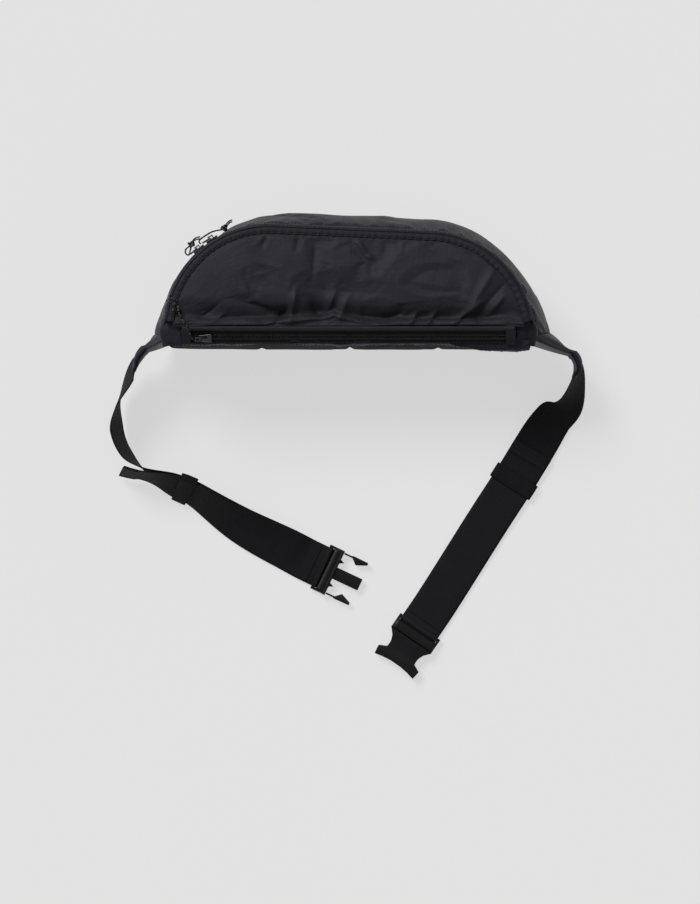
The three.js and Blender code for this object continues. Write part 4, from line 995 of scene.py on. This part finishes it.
def zip_out(length):
    """Outward directions at shares of the main zip."""
    heading = zip_plan(np.asarray(length) * ZIP_LENGTH)[2]
    return np.stack([-np.sin(heading), np.cos(heading), 0 * heading], -1)


for name, side, ends, body in (("main_lower", -1, 1.0, "pack"), ("main_upper", 1, 5.0, "lid")):
    zip_half(f"{name}_zip",
             lambda length, across, out, side=side: beside_zip(length, out, ZIP_HEIGHT + side * across),
             ends, ZIP_LENGTH - ends, zip_out, body, f"main_zip_{name[5:]}_tape")
for name, side in (("lower", -1), ("upper", 1)):
    zip_half(f"rear_{name}_zip", lambda x, up, out, side=side: on_rear(x, side * up, out),
             REAR_LEFT, REAR_RIGHT, lambda share: SLOPE_OUT, "pack", f"rear_zip_{name}_tape")
print("zips done")

# %% [markdown]
# Metal and moulded pieces keep the frame's shape. Their sharp edges would never catch the light, so a merged
# copy of each gets a small Bevel, rounder on the moulded buckle than on the stamped metal.

# %% Sliders, pulls and buckle
def rounded(node, slot, material, width, segments=3):
    """A copy of a hard piece with its flat faces joined up and its edges rounded by a Bevel of width mm."""
    mesh = nodes[node].data.copy()
    sculpt = bmesh.new()
    sculpt.from_mesh(mesh)
    bmesh.ops.remove_doubles(sculpt, verts=sculpt.verts, dist=2e-6)
    bmesh.ops.dissolve_limit(sculpt, angle_limit=np.radians(1.0), verts=sculpt.verts, edges=sculpt.edges)
    sculpt.to_mesh(mesh)
    sculpt.free()
    piece = add_object(f"{node}_round", mesh)
    bevel = piece.modifiers.new("rounding", "BEVEL")
    bevel.width = width * MM
    bevel.segments = segments
    bevel.limit_method = "ANGLE"
    bevel.angle_limit = np.radians(25)
    bevel.use_clamp_overlap = True
    bevel.harden_normals = True
    mesh.polygons.foreach_set("use_smooth", np.ones(len(mesh.polygons), dtype=bool))
    return place(piece, nodes[node]["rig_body"], slot, material, node)


for which in STANDS:
    rounded(f"{which}_slider", "zip_metal", metal, 0.4)
    rounded(f"{which}_pull", "zip_metal", metal, 0.3)
for node, width in (("buckle_prong_half", 0.6), ("buckle_upper_prong", 0.4), ("buckle_lower_prong", 0.4),
                    ("buckle_socket_half", 1.0)):
    rounded(node, "buckle_plastic", plastic, width, 4)
print("hardware done")

# %% [markdown]
# The belt is ribbed webbing that stands on edge where it leaves the wings and twists until it lies flat at
# the buckle. Its middle line, lean and height are smooth curves through stations, and every layer, tail and
# keeper is placed by its length along the belt.

# %% Belts
WEB_HALF, WEB_THICK = 19.0, 1.4
LAYER_GAP = 0.3
STAND_LIFT = WEB_HEIGHT - WEB_HALF
LEFT_STATIONS = [
    (0, 0, 0, STAND_LIFT), (-2.2, -2.7, 0, STAND_LIFT), (-7, -8.5, 8, 25), (-14, -18, 18, 19),
    (-27.8, -48, 0, 7), (-28.8, -70.5, -15, 3), (-21, -90.5, -13, 1), (-7, -104, 2, 1), (24.7, -120, 33, 3),
    (38.4, -125.8, 35, 3), (83.6, -156.4, 60, 0.6), (125.6, -178.8, 82, 0.1), (140, -186.7, 90, 0),
    (158.3, -195.5, 90, 0),
]
RIGHT_STATIONS = [
    (0, 0, 0, STAND_LIFT), (2, -3, 0, STAND_LIFT), (5.2, -10, 11, 24), (4.6, -30.4, 27, 12),
    (0, -43.7, 39, 6.5), (-13.3, -57, 66, 3), (-30, -83.6, 88, 2.1), (-43.9, -106.5, 90, 2.1),
    (-51.7, -118.7, 90, 2.1), (-70, -147, 90, 0.6), (-118, -223, 90, 0), (-135.1, -248.3, 90, 0),
]


def between(at, values, where):
    """A monotone cubic through values at rising stations: each slope is the harmonic mean of its two
    neighbours' rises, or zero where they differ in sign."""
    at, values = np.asarray(at), np.asarray(values, float)
    rise = np.diff(values) / np.diff(at)
    product = rise[:-1] * rise[1:]
    mean = np.where(product > 0, 2 * product / np.where(product > 0, rise[:-1] + rise[1:], 1), 0)
    slope = np.concatenate([[0], mean, [0]])
    x = np.clip(where, at[0], at[-1])
    i = np.clip(np.searchsorted(at, x) - 1, 0, len(at) - 2)
    step = at[i + 1] - at[i]
    t = (x - at[i]) / step
    return (values[i] * (1 + 2 * t) * (1 - t) ** 2 + slope[i] * step * t * (1 - t) ** 2
            + values[i + 1] * t * t * (3 - 2 * t) - slope[i + 1] * step * t * t * (1 - t))


def make_belt(side, tip, stations):
    """Gives the belt's length and stations, and a function from (length, across, out) to points: across
    leans over from upright towards the inside of the loop, and out is square to it and to the belt."""
    table = np.array(stations, float)
    curve, run, station_at = catmull_rom(tip + table[:, :2])
    lean = np.radians(table[:, 2])
    height = table[:, 3] + WEB_HALF * np.abs(np.cos(lean)) + WEB_THICK / 2 * np.abs(np.sin(lean))
    tangent = np.gradient(curve, axis=0)
    tangent /= np.linalg.norm(tangent, axis=1, keepdims=True)

    def on_belt(length, across, out):
        length, across, out = np.broadcast_arrays(np.asarray(length, float), across, out)
        inside_run = np.clip(length, 0, run[-1])
        flat = along_path(tangent, run, inside_run)
        at = along_path(curve, run, inside_run) + flat * (length - inside_run)[..., None]
        z = between(station_at, height, length)
        rise = between(station_at, height, length + 0.5) - between(station_at, height, length - 0.5)
        along = np.concatenate([flat, rise[..., None]], -1)
        along /= np.linalg.norm(along, axis=-1, keepdims=True)
        inside = np.stack([-flat[..., 1], flat[..., 0], 0 * z], -1) * side
        turn = between(station_at, lean, length)[..., None]
        over = UP * np.cos(turn) + inside * np.sin(turn)
        over = over - along * np.sum(over * along, -1, keepdims=True)
        over /= np.linalg.norm(over, axis=-1, keepdims=True)
        face = np.cross(along, over) * side
        return np.concatenate([at, z[..., None]], -1) + over * across[..., None] + face * out[..., None]

    return on_belt, float(run[-1]), station_at


def ribbon(name, place_at, start, finish, rows, low, high, half=WEB_HALF, columns=21):
    """A closed ribbon: across runs from -half to half over the top and back below; both faces close in at
    the selvedges as the root of 1 - a^14. low and high are heights, or functions of length."""
    length = np.linspace(start, finish, rows)[:, None]
    a = np.linspace(-1, 1, columns)
    a = np.sign(a) * np.abs(a) ** 0.8
    loop = np.concatenate([a, a[-2:0:-1]])[None, :]
    sign = np.concatenate([np.ones(columns), -np.ones(columns - 2)])[None, :]
    bottom, top = (h(length) if callable(h) else h for h in (low, high))
    middle, thick = (bottom + top) / 2, (top - bottom) / 2
    out = middle + thick * sign * np.sqrt(np.maximum(1 - np.abs(loop) ** 14, 0))
    body = place_at(length + 0 * loop, half * loop, out)
    caps = [np.repeat(body[i].mean(0)[None, None], body.shape[1], 1) for i in (0, -1)]
    points = np.concatenate([caps[0], body, caps[1]])
    run = np.concatenate([[start], length[:, 0], [finish]])[:, None] + 0 * loop
    uv = np.stack([run, half * loop + 0 * run], -1).reshape(-1, 2)
    faces = grid_faces(rows + 2, body.shape[1], wrap=True)
    return facing_up(add_object(name, mesh_from(name, points.reshape(-1, 3), faces, uv)))


on_left, left_total, left_stations = make_belt(1, LEFT_TIP, LEFT_STATIONS)
on_right, right_total, right_stations = make_belt(-1, RIGHT_TIP, RIGHT_STATIONS)
MALE_INSET, LOOP_REACH = 6.0, 5.7
print("belts", round(left_total, 1), round(right_total, 1), "mm")

# %% Webbing, tails and keepers
FOLD_GAP = 0.9
HEM = 12.0
LAP = 0.6                                   # how far the webbing runs into the loop at the buckle
KEEPER_LENGTH, KEEPER_GAP, KEEPER_WALL = 14.5, 0.8, 1.2
SECOND_LAYER = WEB_THICK + LAYER_GAP


def tail_of(on_belt, start, free, swing, splay, rise):
    """A tail lies one layer out over its belt; near its start it swings clear by the square of how far
    along its free length it is."""
    def place_at(length, across, out):
        away = np.maximum(0, start + free - length) / max(free, 1.0)
        points = on_belt(length, across, out + (swing - splay * across / WEB_HALF) * away ** 2)
        return points + UP * (rise * away ** 2)[..., None]
    return place_at


def sleeve(name, place_at, middle):
    """A keeper: a wall carried round a rounded oblong, closed in both directions. Its section is
    (sgn cos |cos|^0.16, sgn sin |sin|^0.5) times its half sizes."""
    low, high = -WEB_THICK / 2 - KEEPER_GAP, SECOND_LAYER + WEB_THICK / 2 + KEEPER_GAP
    t = np.linspace(0, 2 * np.pi, 72, endpoint=False)[None, :]
    wall = np.array([
        (0, 0), (0, 0.7), (0.05, 1), (0.5, 1.06), (0.95, 1), (1, 0.7), (1, 0), (0.95, -0.06), (0.05, -0.06)])
    along, thick = wall[:, :1] - 0.5, np.maximum(wall[:, 1:], 0) * KEEPER_WALL
    across = np.sign(np.cos(t)) * np.abs(np.cos(t)) ** 0.16 * (WEB_HALF + KEEPER_GAP + thick)
    out = (low + high) / 2 + np.sign(np.sin(t)) * np.abs(np.sin(t)) ** 0.5 * ((high - low) / 2 + thick)
    grid = place_at(middle + along * KEEPER_LENGTH + 0 * across, across, out)
    rows, columns = grid.shape[:2]
    faces = grid_faces(rows, columns, wrap=True)
    last, ring = (rows - 1) * columns, np.arange(columns)
    after = (ring + 1) % columns
    faces = np.concatenate([faces, np.stack([last + ring, last + after, after, ring], -1)])
    girth = run_along(grid[0])
    uv = np.stack([girth[None, :] + 0 * along, along * KEEPER_LENGTH + 0 * girth[None, :]], -1).reshape(-1, 2)
    return facing_up(add_object(name, mesh_from(name, grid.reshape(-1, 3), faces, uv)))


tails = {}
for side, on_belt, total, stations, keeper_station, tail in (
        ("left", on_left, left_total, left_stations, 8, (188.0, 36.0, 11.0, 8.0, 7.0)),
        ("right", on_right, right_total, right_stations, 7, (183.0, 0.0, 0.0, 0.0, 0.0))):
    web_end = total - MALE_INSET - LOOP_REACH - LAYER_GAP
    body = f"{side}_belt"
    half_thick = WEB_THICK / 2
    place(ribbon(f"{side}_belt_webbing", on_belt, FOLD_GAP, web_end + LAP, 190, -half_thick, half_thick),
          body, "webbing", webbing, f"{side}_webbing")
    start = web_end - tail[0]
    place_tail = tail_of(on_belt, start, *tail[1:])
    under = SECOND_LAYER - half_thick

    def top_of(length, start=start, under=under):
        return under + WEB_THICK * (1 + 1 / (1 + np.exp((length - start - HEM) / 0.5)))

    place(ribbon(f"{side}_belt_tail", place_tail, start, web_end + LAP, 150, under, top_of),
          body, "webbing", webbing, f"{side}_tail")
    tails[side] = (place_tail, start, top_of)
    middle = (stations[keeper_station] + stations[keeper_station + 1]) / 2
    place(sleeve(f"{side}_belt_sleeve", on_belt, middle), f"{side}_belt_keeper", "elastic", elastic,
          f"{side}_keeper")
ANCHOR_LENGTH = 14.0
ANCHOR_TUCK = 2.6                           # it leans this far from the wing's inner side at its far end
for side, root, tip in (("left", np.array([BACK_LEFT - 1.0, WING_ROOT_Y]), LEFT_TIP),
                        ("right", np.array([BACK_RIGHT + 1.0, WING_ROOT_Y]), RIGHT_TIP)):
    along = (tip - root) / np.linalg.norm(tip - root)
    outer = np.array([-along[1], along[0], 0.0]) * np.sign(along[0])

    def on_anchor(length, across, out, along=along, outer=outer, tip=tip):
        length, across, out = np.broadcast_arrays(length, across, out)
        flat = tip + along * length[..., None]
        out = out - ANCHOR_TUCK * length / ANCHOR_LENGTH
        return np.concatenate([flat, (WEB_HEIGHT + 0.9 * across)[..., None]], -1) + outer * out[..., None]

    place(ribbon(f"{side}_anchor", on_anchor, -ANCHOR_LENGTH, 0.0, 8, -WEB_THICK / 2, WEB_THICK / 2),
          "pack", "webbing", webbing, f"{side}_webbing_anchor")
print("webbing done")

# %% [markdown]
# Each wing is cloth that gathers the end of the pack in to the webbing, and runs on over its first stretch as
# a cuff. It is one loft: its root spans from inside the pack to the end of the front panel, and its far
# sections wrap the belt. The belt swings at the wing's tip.

# %% Wings
CUFF = 14.0
CUFF_SHARE = 0.62                           # share of the loft that lies between the pack and the belt


def wing_grid(end, inner_x, on_belt, seed, rows=80, columns=64):
    """u runs from the front panel's end to the cuff's end and v round the section. Each point is eased
    from a root section to one that wraps the belt, and folds run along it."""
    u, v = unit_grid(rows, columns + 1)
    u, v = u[:, :-1], v[:, :-1] * 2 * np.pi
    part = np.clip(u / CUFF_SHARE, 0, 1)
    ease = part * part * (3 - 2 * part)
    c, s = np.cos(v), np.sin(v)
    share = 0.5 + 0.5 * np.sign(s) * np.abs(s) ** 0.75
    depth = 0.5 + 0.5 * np.sign(c) * np.abs(c) ** 0.8
    level = 0.6 + 108.4 * share
    bulge = float(bulge_at(end)) * np.maximum(np.sin(np.pi * share), 0) ** 0.8 - TUCK * (1 - share) ** 2
    outer = beside_zip(-OVERRUN if end == 0 else ZIP_LENGTH + OVERRUN, bulge + 1.0, level)
    inner = np.stack([np.full(u.shape, inner_x), np.full(u.shape, WING_ROOT_Y + 1.5), level], -1)
    root = inner + (outer - inner) * depth[..., None]
    length = CUFF * np.clip((u - CUFF_SHARE) / (1 - CUFF_SHARE), 0, 1) + 0.3
    fold = 2.2 * ripples(26 * u, 0.5 * level, seed, size=(6, 22)) + 1.5 * np.sin(level / 4.6 + 4.0 * u)
    swell = fold * np.sin(np.pi * np.clip(u, 0.02, 0.93)) * (0.4 + 0.6 * np.maximum(c, 0))
    thick = 2.0 + 3.4 * np.sin(np.pi * np.clip((u - 0.45) / 0.6, 0, 1))
    wrap = on_belt(length, (21.0 - 1.5 * u) * (2 * share - 1), -1.6 + (1.6 + thick) * depth)
    face = on_belt(length, 0.0, 1.0) - on_belt(length, 0.0, 0.0)
    return root + (wrap - root) * (0.25 * part + 0.75 * ease)[..., None] + face * swell[..., None]


def closed_loft(name, grid):
    """Rings of points joined into a closed tube, with a point in the middle of each end."""
    rows, columns = grid.shape[:2]
    ends = [np.repeat(grid[i].mean(0)[None, None], columns, 1) for i in (0, -1)]
    points = np.concatenate([ends[0], grid, ends[1]])
    uv = arc_uv(grid)
    uv = np.concatenate([uv[:columns], uv, uv[-columns:]])
    faces = grid_faces(rows + 2, columns, wrap=True)
    return facing_up(add_object(name, mesh_from(name, points.reshape(-1, 3), faces, uv)))


for side, end, inner_x, on_belt, seed in (("left", 0, BACK_LEFT + 4.0, on_left, 81),
                                          ("right", 1, BACK_RIGHT - 4.0, on_right, 82)):
    wing = closed_loft(f"{side}_wing_cloth", wing_grid(end, inner_x, on_belt, seed))
    paint(wing, navy_cloth)
    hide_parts(f"{side}_wing")
    hinge, far = ((on_belt(length, 0.0, 0.0) + SHIFT) * MM for length in (-2.0, 5.0))
    tuple(hinge)
    tuple(far)
    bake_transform(wing)
print("wings done")

# %% [markdown]
# Behind each buckle the webbing turns round the adjuster's bar. The loop keeps the frame's shape, with its
# edges rounded, and gets a UV map of its own so that the ribs run round the bar as they do on the belt.

# %% Webbing loops at the buckles
def cloth_map(piece, origin, along, across):
    """A UV map in metres from the run along the webbing plus the height, and the place across it."""
    mesh = piece.data
    layer = mesh.uv_layers.new(name="cloth") if not mesh.uv_layers else mesh.uv_layers[0]
    points = np.empty(len(mesh.vertices) * 3, np.float32)
    mesh.vertices.foreach_get("co", points)
    points = points.reshape(-1, 3) - np.asarray(origin) * MM
    flat = np.stack([points @ np.append(along, 1.0), points @ np.append(across, 0.0)], -1)
    corners = np.empty(len(mesh.loops), np.int32)
    mesh.loops.foreach_get("vertex_index", corners)
    layer.data.foreach_set("uv", flat[corners].astype(np.float32).ravel())


for side, on_belt, total in (("left", on_left, left_total), ("right", on_right, right_total)):
    near, far, over = on_belt([total - 1.0, total, total], [0.0, 0.0, 1.0], 0.0)
    loop = rounded(f"{side}_webbing_loop", "webbing", webbing, 0.35)
    cloth_map(loop, near + SHIFT, (far - near)[:2], (over - far)[:2])

# %% Bars of the adjusters
LOOP_TOP = 5.8
BAR_START = 5.0
BAR_HALF = 21.2                             # its ends lie in the frame's side rails
BAR_HEIGHT, BAR_DEPTH = 2.2, 1.0            # above and below the height of its ends
BAR_ENDS = {"prong": 12.4, "socket": 14.8}


def adjuster_bar(name, on_belt, total, far, body):
    """A rounded bar over the webbing's loop: half an oval in section, closed underneath, wider
    towards its ends by a^14 and drawn in at them by the root of 1 - a^24."""
    u, v = unit_grid(44, 25)
    v = v[:, :-1] * 2 * np.pi
    a = 2 * u[:, :-1] - 1
    close = np.sqrt(np.maximum(1 - np.abs(a) ** 24, 0))
    flare = 1 + 0.5 * np.abs(a) ** 14
    x = (BAR_START + far) / 2 - (far - BAR_START) / 2 * np.cos(v) * close * flare
    s = np.sin(v)
    z = LOOP_TOP + 0.15 + np.where(s > 0, BAR_HEIGHT, BAR_DEPTH) * np.sign(s) * np.abs(s) ** 0.7 * close
    grid = on_belt(total - MALE_INSET + x, BAR_HALF * a, z - WEB_THICK / 2)
    return place(closed_loft(name, grid), body, "buckle_plastic", plastic)


adjuster_bar("prong_adjuster_bar", on_left, left_total, BAR_ENDS["prong"], "prong_buckle")
adjuster_bar("socket_adjuster_bar", on_right, right_total, BAR_ENDS["socket"], "socket_buckle")

# %% [markdown]
# Thread shows wherever cloth is sewn. A stitch is a short bent capsule, and a row of them is one mesh laid
# along a path, so the hundreds of stitches on the seams stay light.

# %% Stitches
def stitches(name, path, lift, body, slot, length=2.5, gap=0.9, radius=0.22):
    """A row of stitches along a path in mm: each is five rings of five points whose middles rise along
    lift by sin(pi t), with its ends closed to points."""
    run = run_along(path)
    count = int(run[-1] / (length + gap))
    t = np.linspace(0, 1, 5)
    where = np.arange(count)[:, None] * (length + gap) + gap + t * length
    middle = along_path(path, run, where)
    up = along_path(np.broadcast_to(lift, path.shape), run, where)
    up /= np.linalg.norm(up, axis=-1, keepdims=True)
    tangent = np.gradient(middle, axis=1)
    side = np.cross(tangent, up)
    side /= np.maximum(np.linalg.norm(side, axis=-1, keepdims=True), 1e-9)
    middle = middle + up * (0.9 * radius * np.sin(np.pi * t) - 0.3 * radius)[None, :, None]
    a = np.arange(5) * 2 * np.pi / 5
    size = radius * np.array([0.02, 0.8, 1.0, 0.8, 0.02])[None, :, None, None]
    around = up[:, :, None] * np.cos(a)[:, None] + side[:, :, None] * np.sin(a)[:, None]
    rings = middle[:, :, None] + size * around
    one = grid_faces(5, 5, wrap=True)
    faces = (one[None] + np.arange(count)[:, None, None] * 25).reshape(-1, 4)
    uv = np.stack(np.broadcast_arrays(where[..., None], a * radius), -1).reshape(-1, 2)
    row = facing_up(add_object(name, mesh_from(name, rings.reshape(-1, 3), faces, uv)))
    return place(row, body, slot, thread)


def seam_row(grid, index, lift=0.05, axis=1):
    """A path along one row or column of a grid, lifted off it, and the grid's normals there."""
    normal = grid_normals(grid)
    pick = (slice(None), index) if axis == 1 else (index, slice(None))
    return grid[pick] + normal[pick] * lift, normal[pick]


path, lift = seam_row(front, 56)
stitches("front_seam_stitches", path, lift, "pack", "navy_cloth")
path, lift = seam_row(rim_grid[:, ::-1], 2)
stitches("rim_seam_stitches", path, lift, "lid", "welt_cloth")
path, lift = seam_row(welt_grid[:, ::-1], 2)
stitches("welt_seam_stitches", path, lift, "lid", "welt_cloth")
path, lift = seam_row(binding, 2)
stitches("binding_stitches", path, lift, "pack", "navy_cloth")
for x in (REAR_LEFT, REAR_RIGHT):
    for out_by in (2.0, 6.0):
        x_row = x + (out_by if x > 0 else -out_by)
        path = on_rear(np.full(14, x_row), np.linspace(-6.6, 6.6, 14), 2.9)
        stitches(f"tab_stitches_{round(x_row)}", path, SLOPE_OUT, "pack", "welt_cloth", 1.8, 0.6)
x_row = np.linspace(REAR_LEFT - 7, REAR_RIGHT + 7, 60)
stitches("tape_stitches", on_rear(x_row, -5.9, TAPE_HALF + 0.1), SLOPE_OUT, "pack", "zip_tape")
for side, (place_tail, start, top_of) in tails.items():
    for number, back_by in enumerate((9.6, 10.8) if side == "left" else (9.8,)):
        length = np.full(24, start + back_by)
        across = np.linspace(-WEB_HALF + 1.2, WEB_HALF - 1.2, 24)
        path = place_tail(length, across, top_of(length) + 0.04)
        lift = place_tail(length, across, top_of(length) + 1.0) - path
        stitches(f"{side}_tail_stitches_{number}", path, lift, f"{side}_belt", "webbing")
print("stitches done")

# %% [markdown]
# What is left of the frame is inside the pack: its floor and the divider of the rear pocket. Their shapes are
# right already, so they only get the lining's finish.

# %% Lining of the floor and divider
paint(nodes["base_panel"], lining)
paint(nodes["pocket_divider"], lining)

# %% [markdown]
# A pale floor under an even sky and one broad sun, high on the left. Both light the whole floor alike, so it
# stays one tone, and the soft shadow falls to the right of the belt, as on a studio table.

# %% Stage and light
FLOOR_SIZE = 8.0
EVEN_SHARE = 0.8                            # how much of the floor the camera sees as one flat tone
u, v = unit_grid(9, 9)
across_floor, along_floor = ((way - 0.5) * FLOOR_SIZE / MM for way in (u, v))
floor_points = np.stack([across_floor, along_floor, np.full(u.shape, -0.6)], -1)
floor = add_object("floor", mesh_from("floor", floor_points.reshape(-1, 3), grid_faces(9, 9)))
floor_paint = bpy.data.materials.new("pale floor")
floor_paint.use_nodes = True
tree = Tree(floor_paint.node_tree)
shader = floor_paint.node_tree.nodes["Principled BSDF"]
grain = tree.noise(tree.node("ShaderNodeTexCoord").outputs["Object"], 3.0, 2)
tree.feed(shader.inputs["Base Color"], tree.mix(grain, linear(225, 225, 225), linear(228, 228, 228)))
shader.inputs["Roughness"].default_value = 0.9
glow = tree.node("ShaderNodeEmission", {"Color": linear(226, 226, 226), "Strength": 1.0})
path = tree.node("ShaderNodeLightPath").outputs
mirrored = tree.math("MAXIMUM", path["Is Glossy Ray"], path["Is Transmission Ray"])
seen = tree.math("MULTIPLY", tree.math("MAXIMUM", path["Is Camera Ray"], mirrored), EVEN_SHARE)
blended = tree.node("ShaderNodeMixShader", {0: seen, 1: shader.outputs[0], 2: glow.outputs[0]})
tree.feed(floor_paint.node_tree.nodes["Material Output"].inputs["Surface"], blended.outputs[0])
floor.data.materials.append(floor_paint)
floor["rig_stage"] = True

SUN = bpy.data.lights.new("key", "SUN")
SUN.energy = 2.9
SUN.angle = np.radians(24)
sun = bpy.data.objects.new("key", SUN)
sun.location = (-1.1, 1.5, 3.0)
sun.rotation_euler = Vector((0.62, -0.78, -1.0)).to_track_quat("-Z", "Y").to_euler()
bpy.context.scene.collection.objects.link(sun)
world = bpy.data.worlds.new("studio")
world.use_nodes = True
world.node_tree.nodes["Background"].inputs["Color"].default_value = (1, 1, 1, 1)
world.node_tree.nodes["Background"].inputs["Strength"].default_value = 0.36
bpy.context.scene.world = world
bpy.context.scene.view_settings.view_transform = "Standard"

# %% Size of the finished model, and the end
low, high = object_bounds()
print("size", [round((b - a) * 1000, 1) for a, b in zip(low, high)])
